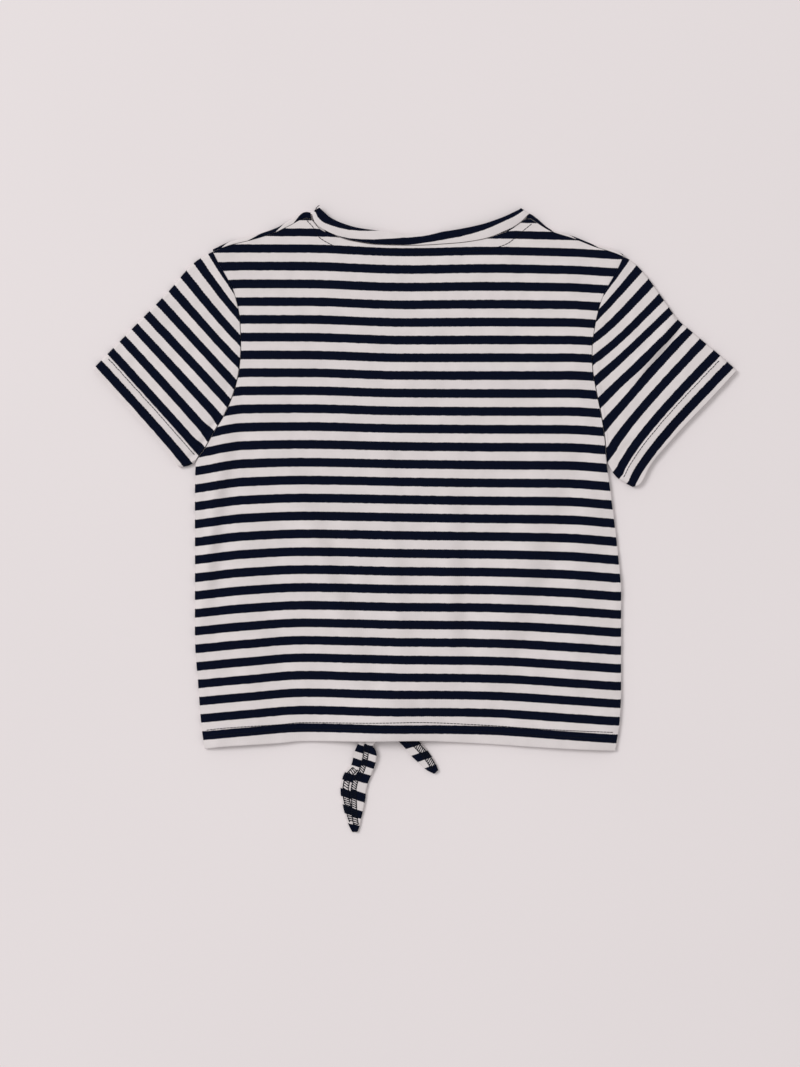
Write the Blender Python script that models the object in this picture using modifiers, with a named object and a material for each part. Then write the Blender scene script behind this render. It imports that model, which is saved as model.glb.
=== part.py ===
"""Girl's short sleeve T-shirt with a knotted front hem, laid flat on its front.

The back of the garment is uppermost and the front lies on the surface. Tables and sizes are
in millimetres: "across" runs to the right of the body's centre line, "up" runs from the back
hem towards the neck. The meshes are in metres, +X right, +Y towards the neck and +Z up, with
the origin on the surface under the middle of the whole garment.
"""
import math
from collections import namedtuple

import bmesh
import bpy
import numpy as np

MM = 0.001

# ---- Cloth -------------------------------------------------------------------------------
CLOTH = 1.0  # wall of one layer of jersey
BAND_CLOTH = 2.0  # the neckband is folded double
SEAM = 0.4  # space between two sewn pieces
CLEARANCE = 0.6  # least space between the two panels where one lies over the other
FOLD_RADIUS = 2.0  # outer radius of a soft fold at the shoulders and along the sleeves
BAND_RADIUS = 2.5  # the same for the neckband
TIE_RADIUS = 1.2  # the same for the turned edge of a tie
SIDE_HEIGHT = 1.3  # underside of the back panel at the side seams
LOFT = 3.0  # underside of the back panel where it lies slack
SIDE_ROUND = 18.0  # the back panel rises from SIDE_HEIGHT to LOFT over this distance

# ---- Place of the body's centre line and back hem from the middle of the garment ---------
CENTRE_LINE = -6.5
HEM_LINE = -199.88

# ---- Edges: one row for each point where the outline turns -------------------------------
Edge = namedtuple("Edge", "across up")

LEFT_EDGE = (  # hem, side seam, underarm, armhole, shoulder
    Edge(-183.0, -5.9), Edge(-186.0, 16.0), Edge(-188.2, 45.0), Edge(-191.7, 96.0),
    Edge(-191.7, 222.0), Edge(-191.0, 250.0), Edge(-182.0, 265.0), Edge(-173.0, 281.0),
    Edge(-165.5, 293.0), Edge(-156.0, 316.0), Edge(-151.5, 336.0), Edge(-150.0, 356.0),
    Edge(-151.0, 380.0), Edge(-156.5, 405.0), Edge(-165.6, 423.0), Edge(-171.5, 433.0),
    Edge(-175.4, 441.1),
)
RIGHT_EDGE = (
    Edge(186.3, -7.7), Edge(190.4, 19.8), Edge(191.7, 50.0), Edge(191.7, 132.0),
    Edge(189.0, 168.0), Edge(182.0, 226.0), Edge(178.6, 251.0), Edge(176.4, 275.0),
    Edge(172.8, 297.0), Edge(168.3, 319.0), Edge(165.5, 337.0), Edge(165.0, 351.0),
    Edge(168.3, 377.0), Edge(175.5, 402.3), Edge(184.2, 418.0), Edge(189.8, 428.5),
    Edge(193.4, 436.6),
)
UNDERARM_LEFT = 250.0
UNDERARM_RIGHT = 251.0
ARM_FREE = (230.0, 280.0)  # the side seam's pull on the back's height fades out between these
HEM_GAP_POWER = 0.2  # a small power sets the front hem back evenly all the way across

BACK_HEM = (
    Edge(-183.0, -5.9), Edge(-163.8, -3.6), Edge(-116.0, -0.6), Edge(-95.4, 0.9),
    Edge(-50.0, 0.2), Edge(0.0, 0.8), Edge(64.8, -1.4), Edge(119.7, -4.5), Edge(186.3, -7.7),
)
BACK_NECK = (  # neck seam, between the inner ends of the shoulder seams
    Edge(-91.4, 470.7), Edge(-86.4, 467.4), Edge(-79.2, 460.8), Edge(-67.5, 455.4),
    Edge(-51.3, 450.0), Edge(-25.2, 446.6), Edge(1.8, 446.0), Edge(42.9, 448.0),
    Edge(63.9, 450.6), Edge(89.6, 458.4), Edge(103.6, 466.4), Edge(108.9, 467.9),
    Edge(114.5, 467.5),
)
NECK_MARKS = (-91.4, -86.4, 108.9, 114.5)  # ends of the shoulder seams and of the neckband

# The front panel comes over the shoulders: the fold, and how far below it the seam lies.
Shoulder = namedtuple("Shoulder", "across fold drop")
SHOULDERS = (
    Shoulder(-175.4, 443.1, 2.3), Shoulder(-160.2, 450.0, 3.6), Shoulder(-140.4, 455.2, 3.9),
    Shoulder(-118.8, 462.2, 4.1), Shoulder(-107.1, 468.6, 4.8), Shoulder(-91.4, 476.8, 6.1),
    Shoulder(-86.4, 476.2, 6.1), Shoulder(108.9, 475.2, 4.6), Shoulder(114.5, 471.9, 4.4),
    Shoulder(126.9, 461.9, 2.1), Shoulder(149.4, 454.5, 2.3), Shoulder(169.2, 446.8, 2.1),
    Shoulder(184.5, 443.0, 3.2), Shoulder(193.4, 438.6, 2.3),
)

# ---- Neck --------------------------------------------------------------------------------
NECK_CENTRE = 10.8
BAND_FREE = (  # free edge of the band across the back of the neck
    Edge(-78.2, 478.9), Edge(-69.3, 471.2), Edge(-58.5, 466.2), Edge(-44.1, 462.1),
    Edge(-20.0, 459.0), Edge(1.8, 456.0), Edge(33.3, 459.2), Edge(63.9, 464.8),
    Edge(84.6, 471.6), Edge(99.7, 478.5),
)
BAND_SEAM = (  # sewn edge of the band across the back of the neck
    Edge(-86.0, 474.0), Edge(-84.2, 468.3), Edge(-78.2, 462.4), Edge(-67.5, 456.8),
    Edge(-51.3, 451.3), Edge(-25.2, 447.6), Edge(1.8, 446.9), Edge(42.9, 448.9),
    Edge(63.9, 451.7), Edge(89.0, 459.9), Edge(101.0, 467.6), Edge(107.3, 473.6),
)
FRONT_FREE_DEPTH = 75.0  # the front neck is this much lower than the shoulder
FRONT_SEAM_DEPTH = 82.0
FRONT_FREE_POWER = 2.4  # a larger power makes the front neck squarer
FRONT_SEAM_POWER = 2.8
NECK_TOP = 475.2  # the front neck's curve starts at this height
NECK_FACING = 10.0  # the front panel is flat over this width below its neck seam
FRONT_BAND_RISE = 3.6  # the front band's free edge starts this much above the curve
BAND_GATHER = 0.35  # columns gather towards the shoulders, where the band bends most
BAND_TURN = (0.75, 0.66)  # lean of the band's fold at the shoulders, across and up
NECK_EASE = 1.2  # the front panel's neck is wider than its band by this much at each side
NECK_DIP = 1.4  # the back sinks into the open front neck
NECK_DIP_SPREAD = (55.0, 22.0)
NECK_DIP_UP = 452.0

# ---- Knot and ties -----------------------------------------------------------------------
KNOT = Edge(-20.7, 19.0)
KNOT_HALF = (16.0, 12.5)
KNOT_TOP = 10.8
KNOT_MIDDLE = 4.6
KNOT_PLEATS = 3
KNOT_PLEAT_DEPTH = 0.05
KNOT_PLEAT_TURN = 0.6
DOME = 11.4  # the front panel rises this far over the knot
DOME_SPREAD = (40.0, 34.0)
DOME_FLAT = 0.5  # below this height the front lies on the surface
BACK_OVER_DOME = 0.87  # share of the dome that the back follows
FRONT_HEM_UP = 4.0
FRONT_HEM_GATHER = 18.0  # the front hem is drawn up into the knot
FRONT_HEM_SPREAD = 30.0

Tie = namedtuple("Tie", "along_across along_up width lift")
LEFT_TIE = (
    Tie(-31.0, 5.2, 8.0, 3.4), Tie(-38.0, -3.0, 15.0, 3.0), Tie(-38.5, -12.0, 21.0, 1.8),
    Tie(-42.0, -25.0, 20.0, 0.4), Tie(-47.5, -35.0, 23.5, 0.0), Tie(-49.2, -45.0, 23.0, 0.0),
    Tie(-49.0, -55.0, 20.0, 0.0), Tie(-49.0, -65.0, 15.5, 0.0), Tie(-48.2, -74.0, 10.4, 0.0),
    Tie(-47.7, -80.6, 5.0, 0.0),
)
RIGHT_TIE = (
    Tie(-8.0, 6.8, 9.0, 3.4), Tie(1.6, -0.5, 12.5, 2.6), Tie(8.2, -7.6, 14.0, 1.2),
    Tie(15.0, -15.0, 12.8, 0.2), Tie(20.5, -21.5, 10.4, 0.0), Tie(25.3, -26.8, 5.0, 0.0),
)
TIE_TURNED = 0.5  # share of a tie's width that the turned edge covers

# ---- Sleeves: top fold and underarm edge run from the armhole to the cuff ----------------
LEFT_TOP_FOLD = (
    Edge(-176.0, 441.0), Edge(-182.0, 438.0), Edge(-192.6, 431.1), Edge(-215.1, 405.9),
    Edge(-243.9, 376.2), Edge(-282.2, 336.8),
)
LEFT_CUFF = (  # from the underarm to the top fold
    Edge(-205.7, 247.1), Edge(-212.4, 257.4), Edge(-225.9, 274.1), Edge(-253.8, 304.2),
    Edge(-282.2, 336.8),
)
LEFT_UNDERARM = (Edge(-191.4, 252.0), Edge(-198.0, 248.4), Edge(-205.7, 247.1))
RIGHT_TOP_FOLD = (
    Edge(194.0, 436.4), Edge(198.4, 434.6), Edge(210.6, 423.9), Edge(230.4, 397.4),
    Edge(243.0, 379.8), Edge(256.5, 368.1), Edge(280.8, 347.6), Edge(295.2, 334.6),
)
RIGHT_CUFF = (
    Edge(202.0, 229.5), Edge(207.4, 231.6), Edge(211.2, 236.6), Edge(215.6, 245.6),
    Edge(222.0, 255.2), Edge(229.2, 263.6), Edge(247.6, 284.0), Edge(273.4, 310.8),
    Edge(295.2, 334.6),
)
RIGHT_UNDERARM = (
    Edge(179.4, 251.0), Edge(183.4, 243.4), Edge(190.0, 236.2), Edge(202.0, 229.5),
)
SLEEVE_PUFF = 1.2  # the upper layer of a sleeve stands this much higher in its middle

# ---- Creases: a ridge or, with a negative height, a trough from its foot to its head ------
Crease = namedtuple("Crease", "foot_across foot_up head_across head_up bow width height")
BACK_CREASES = (  # they fan out from the knot
    Crease(-40.0, 44.0, -132.0, 296.0, 5.0, 11.0, 3.0),
    Crease(-23.0, 48.0, -112.0, 296.0, 5.0, 8.0, -1.3),
    Crease(-6.0, 50.0, -26.0, 300.0, 4.0, 12.0, 2.2),
    Crease(9.0, 58.0, -8.0, 296.0, -4.0, 8.0, -1.2),
    Crease(40.0, 44.0, 42.0, 280.0, -4.0, 11.0, 2.2),
    Crease(55.0, 48.0, 60.0, 270.0, -5.0, 8.0, -1.2),
    Crease(60.0, 40.0, 134.0, 280.0, 5.0, 18.0, 3.8),
    Crease(88.0, 44.0, 160.0, 290.0, 6.0, 11.0, -1.3),
    Crease(148.0, 30.0, 166.0, 250.0, -5.0, 12.0, 2.2),
    Crease(-134.0, 30.0, -148.0, 250.0, -4.0, 15.0, 1.6),
    Crease(-100.0, 30.0, -158.0, 170.0, 6.0, 12.0, -0.9),
    Crease(-138.0, 262.0, -126.0, 360.0, 3.0, 16.0, 1.2),
    Crease(148.0, 280.0, 144.0, 430.0, 4.0, 20.0, 2.0),
)
HEM_LIFTS = (  # the slack hem stands off the surface near its corners
    Crease(-150.0, -14.0, -150.0, 36.0, 0.0, 34.0, 2.0),
    Crease(158.0, -14.0, 158.0, 30.0, 0.0, 34.0, 2.2),
    Crease(78.0, -14.0, 76.0, 34.0, 0.0, 20.0, -0.9),
    Crease(-86.0, -14.0, -84.0, 34.0, 0.0, 18.0, -0.9),
)
RIGHT_SLEEVE_CREASES = (
    Crease(243.0, 386.0, 194.0, 322.0, -2.6, 6.0, 2.4),
    Crease(176.0, 262.0, 208.0, 262.0, 3.0, 6.0, 1.2),
)
LEFT_SLEEVE_CREASES = (
    Crease(-160.0, 318.0, -222.0, 372.0, 3.0, 10.0, 0.8),
    Crease(-176.0, 276.0, -214.0, 306.0, 3.0, 7.0, -0.8),
)
CREASE_LEAN = 0.8  # below 1 a crease is highest nearer to its foot

# ---- Fineness ----------------------------------------------------------------------------
COLUMN_COUNTS = (7, 1, 15, 1, 7)  # left shoulder, corner, neck, corner, right shoulder
SIDE_ROWS = 13
ARMHOLE_ROWS = 11
PANEL_ROWS = SIDE_ROWS + ARMHOLE_ROWS
ROLL_ROWS = 5
SLEEVE_ROWS = 10
SLEEVE_COLUMNS = 11
FOLD_STEPS = 4
BAND_COLUMNS = 26
TIE_ROWS = {"left": 16, "right": 9}
KNOT_SEGMENTS = 24
KNOT_RINGS = 12

# ---- Colours, linear ---------------------------------------------------------------------
OFF_WHITE = (0.66, 0.61, 0.60, 1.0)
NAVY = (0.006, 0.010, 0.022, 1.0)


def mix(start, end, share):
    """The value at a share of the way from start to end."""
    return start + (end - start) * share


def smooth(places, values, at):
    """A cubic through the values that never overshoots them."""
    places = np.asarray(places, float)
    values = np.asarray(values, float)
    steps = np.diff(places)
    slopes = np.diff(values) / steps
    tangents = np.zeros_like(values)
    tangents[0], tangents[-1] = slopes[0], slopes[-1]
    before, after = slopes[:-1], slopes[1:]
    turning = before * after <= 0
    total = np.where(turning, 1.0, before + after)
    tangents[1:-1] = np.where(turning, 0.0, 2 * before * after / total)
    cell = np.clip(np.searchsorted(places, at) - 1, 0, len(steps) - 1)
    t = np.clip((at - places[cell]) / steps[cell], 0.0, 1.0)
    start, end, step = values[cell], values[cell + 1], steps[cell]
    rise = (2 * t**3 - 3 * t**2 + 1) * start + (3 * t**2 - 2 * t**3) * end
    return rise + step * ((t**3 - 2 * t**2 + t) * tangents[cell]
                          + (t**3 - t**2) * tangents[cell + 1])


def column(table, name):
    """One named column of a table."""
    return [getattr(row, name) for row in table]


def up_at(table, across):
    """Height of a hem, shoulder or neck edge at a distance across."""
    return smooth(column(table, "across"), column(table, "up"), across)


def across_at(table, up):
    """Place of a side edge at a height."""
    return smooth(column(table, "up"), column(table, "across"), up)


def along(table, share, columns=("across", "up")):
    """Point at a share of the way along a table's rows, by the length between them."""
    points = np.array([[getattr(row, name) for name in columns] for row in table])
    lengths = np.hypot(*np.diff(points[:, :2], axis=0).T)
    places = np.concatenate(([0.0], np.cumsum(lengths))) / lengths.sum()
    return np.array([smooth(places, points[:, i], share) for i in range(points.shape[1])])


def crease_height(creases, across, up):
    """Sum of the ridges and troughs at a point."""
    total = 0.0
    for crease in creases:
        run = (crease.head_across - crease.foot_across, crease.head_up - crease.foot_up)
        length = math.hypot(*run)
        aside = (across - crease.foot_across, up - crease.foot_up)
        t = (aside[0] * run[0] + aside[1] * run[1]) / length**2
        if not 0.0 < t < 1.0:
            continue
        off = (aside[0] * run[1] - aside[1] * run[0]) / length
        off -= 4 * crease.bow * t * (1 - t)
        strength = math.sin(math.pi * t**CREASE_LEAN)
        total += crease.height * strength * math.exp(-((off / crease.width) ** 2))
    return total


def bump(across, up, centre, spread):
    """A soft round rise of height 1."""
    return math.exp(-((across - centre[0]) / spread[0]) ** 2 - ((up - centre[1]) / spread[1]) ** 2)


def front_height(across, up):
    """Underside of the front panel: flat on the surface, lifted over the knot."""
    return max(0.0, (DOME + DOME_FLAT) * bump(across, up, KNOT, DOME_SPREAD) - DOME_FLAT)


def back_height(across, up):
    """Underside of the back panel."""
    inside = min(across - across_at(LEFT_EDGE, up), across_at(RIGHT_EDGE, up) - across)
    near_side = 1 - min(max(inside, 0.0) / SIDE_ROUND, 1.0)
    below_arm = min(max((ARM_FREE[1] - up) / (ARM_FREE[1] - ARM_FREE[0]), 0.0), 1.0)
    base = LOFT - (LOFT - SIDE_HEIGHT) * near_side**2 * below_arm
    dip = NECK_DIP * bump(across, up, (NECK_CENTRE, NECK_DIP_UP), NECK_DIP_SPREAD)
    front = front_height(across, up)
    folds = crease_height(BACK_CREASES, across, up) + crease_height(HEM_LIFTS, across, up)
    height = base - dip + BACK_OVER_DOME * front + folds * (1 - near_side**2 * below_arm)
    lowest = front + CLOTH + (SEAM if near_side > 0 else CLEARANCE)
    return max(height, lowest if up < UNDERARM_LEFT else height)


def coons(bottom, top, left, right, share, rise):
    """Point inside four edges that share their corners."""
    straight = mix(mix(left(0), right(0), share), mix(left(1), right(1), share), rise)
    return mix(bottom(share), top(share), rise) + mix(left(rise), right(rise), share) - straight


def column_shares():
    """Places of the panels' columns along the top edge, from 0 at the left shoulder to 1."""
    left, right = SHOULDERS[0].across, SHOULDERS[-1].across
    marks = [(mark - left) / (right - left) for mark in NECK_MARKS]
    marks = [0.0, *marks, 1.0]
    shares = [0.0]
    for start, end, count in zip(marks, marks[1:], COLUMN_COUNTS):
        shares += [mix(start, end, (i + 1) / count) for i in range(count)]
    return shares


def side(table, underarm, inset):
    """A side edge as a function of the share of the rows passed."""
    turn = SIDE_ROWS / PANEL_ROWS

    def edge(rise):
        up = np.interp(rise, [0.0, turn, 1.0], [table[0].up, underarm, table[-1].up])
        return np.array([across_at(table, up) + inset, up])

    return edge


def shoulder_at(name, across):
    """Fold or drop of the shoulder at a place across."""
    return smooth(column(SHOULDERS, "across"), column(SHOULDERS, name), across)


def back_top_up(across):
    """Height of the back panel's top edge: shoulder seams and neck seam."""
    if NECK_MARKS[0] < across < NECK_MARKS[3]:
        return up_at(BACK_NECK, across)
    return shoulder_at("fold", across) - shoulder_at("drop", across)


def top_across(share):
    """Place across of a share of the way along the panels' top edge."""
    half = SEAM / 2
    return mix(SHOULDERS[0].across + half, SHOULDERS[-1].across - half, share)


def hem_across(share):
    """Place across of a share of the way along the hem."""
    half = SEAM / 2
    return mix(LEFT_EDGE[0].across + half, RIGHT_EDGE[0].across - half, share)


def back_point(share, rise):
    """Point on the underside of the back panel."""
    left = side(LEFT_EDGE, UNDERARM_LEFT, SEAM / 2)
    right = side(RIGHT_EDGE, UNDERARM_RIGHT, -SEAM / 2)

    def bottom(s):
        across = hem_across(s)
        return np.array([across, up_at(BACK_HEM, across)])

    def top(s):
        across = top_across(s)
        return np.array([across, back_top_up(across) - SEAM / 2])

    across, up = coons(bottom, top, left, right, share, rise)
    return across, up, back_height(across, up)


def front_neck(across, depth, power, half_width):
    """Height of the front neck's curve, which is deepest at the centre."""
    from_centre = abs(across - NECK_CENTRE) / half_width
    return NECK_TOP - depth * (1 - min(from_centre, 1.0) ** power)


def front_hem_up(across):
    """Height of the front hem, drawn up into the knot."""
    gather = FRONT_HEM_GATHER * math.exp(-((across - KNOT.across) / FRONT_HEM_SPREAD) ** 2)
    return up_at(BACK_HEM, across) + FRONT_HEM_UP + gather


def front_end(across):
    """Where the front panel's rows end, and how far its cloth reaches from there."""
    if NECK_MARKS[1] - SEAM <= across <= NECK_MARKS[2] + SEAM:
        half = (NECK_MARKS[2] - NECK_MARKS[1]) / 2 + NECK_EASE
        reach = front_neck(across, FRONT_SEAM_DEPTH, FRONT_SEAM_POWER, half) - SEAM
        return reach - NECK_FACING, reach
    start = shoulder_at("fold", across) - FOLD_RADIUS
    length = math.pi * FOLD_RADIUS + shoulder_at("drop", across) - FOLD_RADIUS
    return start, start + length - SEAM


def roll(reach, start, radius):
    """Height across the surface and above it of a sheet that turns back over a fold."""
    past = reach - start
    if past <= 0:
        return reach, 0.0
    if past <= math.pi * radius:
        return start + radius * math.sin(past / radius), radius * (1 - math.cos(past / radius))
    return start - (past - math.pi * radius), 2 * radius


def front_point(share, rise):
    """Point on the outer side of the front panel, which faces the surface."""
    start, reach = front_end(top_across(share))
    row = round(rise * (PANEL_ROWS + ROLL_ROWS))
    if row > PANEL_ROWS:
        across = top_across(share)
        unrolled = mix(start, reach, (row - PANEL_ROWS) / ROLL_ROWS)
        return across, *roll(unrolled, shoulder_at("fold", across) - FOLD_RADIUS, FOLD_RADIUS)

    def bottom(s):
        across = hem_across(s)
        back = up_at(BACK_HEM, across)
        gap = front_hem_up(across) - back
        return np.array([across, back + gap * math.sin(math.pi * s) ** HEM_GAP_POWER])

    def top(s):
        return np.array([top_across(s), front_end(top_across(s))[0]])

    left = side(LEFT_EDGE, UNDERARM_LEFT, SEAM / 2)
    right = side(RIGHT_EDGE, UNDERARM_RIGHT, -SEAM / 2)
    across, up = coons(bottom, top, left, right, share, row / PANEL_ROWS)
    return across, up, front_height(across, up)


def tube_section(width):
    """Points round a flattened tube: share from underarm to top fold, height, upper layer."""
    end = FOLD_RADIUS / width
    turns = [math.pi * i / FOLD_STEPS for i in range(1, FOLD_STEPS)]
    steps = [mix(end, 1 - end, i / SLEEVE_COLUMNS) for i in range(SLEEVE_COLUMNS + 1)]
    upper = [(share, 2 * FOLD_RADIUS, 1.0) for share in reversed(steps)]
    under = [(end * (1 - math.sin(a)), FOLD_RADIUS * (1 + math.cos(a)), 0.0) for a in turns]
    lower = [(share, 0.0, 0.0) for share in steps]
    over = [(1 - end * (1 - math.sin(a)), FOLD_RADIUS * (1 - math.cos(a)), 0.0) for a in turns]
    return upper + under + lower + over


def sleeve_point(armhole, underarm, top_fold, cuff, creases, place, length_share):
    """Point on the outer side of a sleeve at a place round its flattened tube."""
    shoulder, arm = armhole[-1], underarm[0]
    width = mix(shoulder.up - arm.up, math.dist(cuff[0], cuff[-1]), length_share)
    section = tube_section(width)
    share, height, upper = section[round(place * len(section)) % len(section)]
    outward = math.copysign(SEAM / 2, shoulder.across)

    def armhole_edge(s):
        up = mix(arm.up, top_fold[0].up, s)
        across = across_at(armhole, min(up, shoulder.up)) + outward
        underarm_gap = arm.across - across_at(armhole, arm.up) - outward
        return np.array([across + (1 - s) * underarm_gap, up])

    across, up = coons(
        armhole_edge, lambda s: along(cuff, s),
        lambda s: along(underarm, s), lambda s: along(top_fold, s), share, length_share)
    if upper:
        puff = SLEEVE_PUFF * math.sin(math.pi * share) * math.sin(math.pi * length_share) ** 0.5
        height += puff + crease_height(creases, across, up)
        height = max(height, 2 * CLOTH + CLEARANCE)
    return across, up, height


def band_point(place, width_share):
    """Point on the outer side of the neckband's closed ring."""
    steps = 2 * (BAND_COLUMNS + FOLD_STEPS)
    index = round(place * steps) % steps
    half = (NECK_MARKS[2] - NECK_MARKS[1]) / 2
    radius = BAND_RADIUS
    turning = 0.0
    if index <= BAND_COLUMNS:
        share, layer = index / BAND_COLUMNS, "back"
    elif index < BAND_COLUMNS + FOLD_STEPS:
        share, layer = 1.0, "turn"
        turning = math.pi * (index - BAND_COLUMNS) / FOLD_STEPS
    elif index <= 2 * BAND_COLUMNS + FOLD_STEPS:
        share, layer = 1 - (index - BAND_COLUMNS - FOLD_STEPS) / BAND_COLUMNS, "front"
    else:
        share, layer = 0.0, "turn"
        turning = math.pi * (1 - (index - 2 * BAND_COLUMNS - FOLD_STEPS) / FOLD_STEPS)
    eased = mix(share, (1 - math.cos(math.pi * share)) / 2, BAND_GATHER)
    free = mix(BAND_FREE[0].across, BAND_FREE[-1].across, eased)
    seam = mix(BAND_SEAM[0].across, BAND_SEAM[-1].across, eased)
    across = mix(free, seam, width_share)
    if layer == "front":
        free_half = (BAND_FREE[-1].across - BAND_FREE[0].across) / 2
        free_up = front_neck(free, FRONT_FREE_DEPTH, FRONT_FREE_POWER, free_half) + FRONT_BAND_RISE
        seam_up = front_neck(seam, FRONT_SEAM_DEPTH, FRONT_SEAM_POWER, half) + SEAM
        seam_up = min(seam_up, BAND_SEAM[0].up)
        return across, mix(free_up, seam_up, width_share), 0.0
    up = mix(up_at(BAND_FREE, free), up_at(BAND_SEAM, seam), width_share)
    sag = 2 * radius - (LOFT - back_height(across, min(up, BACK_NECK[0].up)))
    if layer == "back":
        return across, up, sag
    toward = -1.0 if share == 0.0 else 1.0
    bend = radius * math.sin(turning)
    return (across + toward * BAND_TURN[0] * bend, up + BAND_TURN[1] * bend,
            radius * (1 + math.cos(turning)))


def tie_section(width):
    """Points across a tie from its plain edge, round the turned edge, to the middle."""
    half = width / 2
    plain = [(mix(half, -half + TIE_RADIUS, i / 5), 0.0) for i in range(6)]
    turns = [math.pi * i / FOLD_STEPS for i in range(1, FOLD_STEPS)]
    turned = [(-half + TIE_RADIUS * (1 - math.sin(a)), TIE_RADIUS * (1 - math.cos(a)))
              for a in turns]
    reach = -half + max(width * TIE_TURNED, TIE_RADIUS + 0.6)
    over = [(mix(-half + TIE_RADIUS, reach, i / 3), 2 * TIE_RADIUS) for i in range(4)]
    return plain + turned + over


def tie_point(table, side_sign, place, share):
    """Point on the outer side of a tie."""
    names = ("along_across", "along_up", "width", "lift")
    across, up, width, lift = along(table, share, names)
    ahead = along(table, min(share + 0.02, 1.0), names)[:2]
    behind = along(table, max(share - 0.02, 0.0), names)[:2]
    direction = (ahead - behind) / np.hypot(*(ahead - behind))
    section = tie_section(width)
    aside, height = section[round(place * (len(section) - 1))]
    aside *= side_sign
    return across - direction[1] * aside, up + direction[0] * aside, lift + height


def world(point):
    """A point of the tables, in metres from the middle of the garment."""
    across, up, height = point
    return ((across + CENTRE_LINE) * MM, (up + HEM_LINE) * MM, height * MM)


def material(name, colour, roughness=0.85):
    """A dull cloth finish."""
    cloth = bpy.data.materials.new(name)
    cloth.use_nodes = True
    shader = cloth.node_tree.nodes["Principled BSDF"]
    shader.inputs["Base Color"].default_value = colour
    shader.inputs["Roughness"].default_value = roughness
    shader.inputs["Metallic"].default_value = 0.0
    return cloth


def add_object(name, form, colour):
    """Put a bmesh into the garment's collection under its own name and finish."""
    mesh = bpy.data.meshes.new(name)
    form.to_mesh(mesh)
    form.free()
    mesh.shade_smooth()
    mesh.set_sharp_from_angle(angle=math.radians(50))
    piece = bpy.data.objects.new(name, mesh)
    piece.data.materials.append(material(name + "_jersey", colour))
    bpy.data.collections["knotted_tshirt"].objects.link(piece)
    return piece


def rest_flat(piece):
    """Make the wall real and press what would go below the surface flat on it."""
    graph = bpy.context.evaluated_depsgraph_get()
    graph.update()
    mesh = bpy.data.meshes.new_from_object(piece.evaluated_get(graph))
    piece.modifiers.clear()
    piece.data = mesh
    for vert in mesh.vertices:
        vert.co.z = max(vert.co.z, 0.0)


def add_sheet(name, columns, rows, place, colour, wall, closed=False, facing=-1):
    """A grid laid out by a function of its column and row, thickened on its inner side."""
    form = bmesh.new()
    bmesh.ops.create_grid(form, x_segments=columns, y_segments=rows, size=0.5)
    for vert in form.verts:
        vert.co = world(place(vert.co.x + 0.5, vert.co.y + 0.5))
    if closed:
        bmesh.ops.remove_doubles(form, verts=form.verts, dist=0.00001)
    if facing < 0:
        bmesh.ops.reverse_faces(form, faces=form.faces)
    piece = add_object(name, form, colour)
    shell = piece.modifiers.new("Wall", "SOLIDIFY")
    shell.thickness = wall * MM
    shell.offset = -1.0
    rest_flat(piece)
    return piece


def make_panels():
    """Front and back, cut alike at the sides."""
    shares = column_shares()
    columns = len(shares) - 1
    add_sheet("back_panel", columns, PANEL_ROWS,
              lambda u, v: back_point(shares[round(u * columns)], v), OFF_WHITE, CLOTH)
    add_sheet("front_panel", columns, PANEL_ROWS + ROLL_ROWS,
              lambda u, v: front_point(shares[round(u * columns)], v), OFF_WHITE, CLOTH)


def make_sleeves():
    """Two flattened tubes, open at the armhole and the cuff."""
    columns = len(tube_section(100.0))
    parts = (
        ("sleeve_left", LEFT_EDGE, LEFT_UNDERARM, LEFT_TOP_FOLD, LEFT_CUFF,
         LEFT_SLEEVE_CREASES, -1),
        ("sleeve_right", RIGHT_EDGE, RIGHT_UNDERARM, RIGHT_TOP_FOLD, RIGHT_CUFF,
         RIGHT_SLEEVE_CREASES, 1),
    )
    for name, armhole, underarm, top_fold, cuff, creases, facing in parts:
        add_sheet(name, columns, SLEEVE_ROWS,
                  lambda u, v: sleeve_point(armhole, underarm, top_fold, cuff, creases, u, v),
                  OFF_WHITE, CLOTH, closed=True, facing=facing)


def make_neckband():
    """A closed ring: its back part on top, its front part on the surface."""
    columns = 2 * (BAND_COLUMNS + FOLD_STEPS)
    add_sheet("neckband", columns, 2, band_point, NAVY, BAND_CLOTH, closed=True, facing=-1)


def make_ties():
    """Two tails that leave the knot under the hem."""
    columns = len(tie_section(20.0)) - 1
    for name, table, sign, facing in (("left", LEFT_TIE, -1, 1), ("right", RIGHT_TIE, 1, -1)):
        add_sheet("tie_" + name, columns, TIE_ROWS[name],
                  lambda u, v: tie_point(table, sign, u, v), OFF_WHITE, CLOTH, facing=facing)


def make_knot():
    """The tied cloth: one rounded solid, flat where it rests."""
    form = bmesh.new()
    bmesh.ops.create_uvsphere(form, u_segments=KNOT_SEGMENTS, v_segments=KNOT_RINGS, radius=1.0)
    tall = KNOT_TOP - KNOT_MIDDLE
    for vert in form.verts:
        x, y, z = vert.co
        turn = KNOT_PLEATS * math.atan2(y, x) + KNOT_PLEAT_TURN
        pleat = 1 + KNOT_PLEAT_DEPTH * math.cos(turn)
        across = KNOT.across + KNOT_HALF[0] * x * pleat
        up = KNOT.up + KNOT_HALF[1] * y * pleat
        vert.co = world((across, up, max(0.0, KNOT_MIDDLE + tall * z)))
    add_object("knot", form, NAVY)


def main():
    for thing in list(bpy.data.objects):
        bpy.data.objects.remove(thing, do_unlink=True)
    collection = bpy.data.collections.new("knotted_tshirt")
    bpy.context.scene.collection.children.link(collection)
    make_panels()
    make_sleeves()
    make_neckband()
    make_ties()
    make_knot()


main()
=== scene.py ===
"""A girl's striped jersey T-shirt with a knotted front hem, laid flat on its front.

Tables are in millimetres: "across" runs to the right of the body's centre line and "up" runs
from the back hem towards the neck. The meshes are in metres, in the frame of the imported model.
"""

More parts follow.
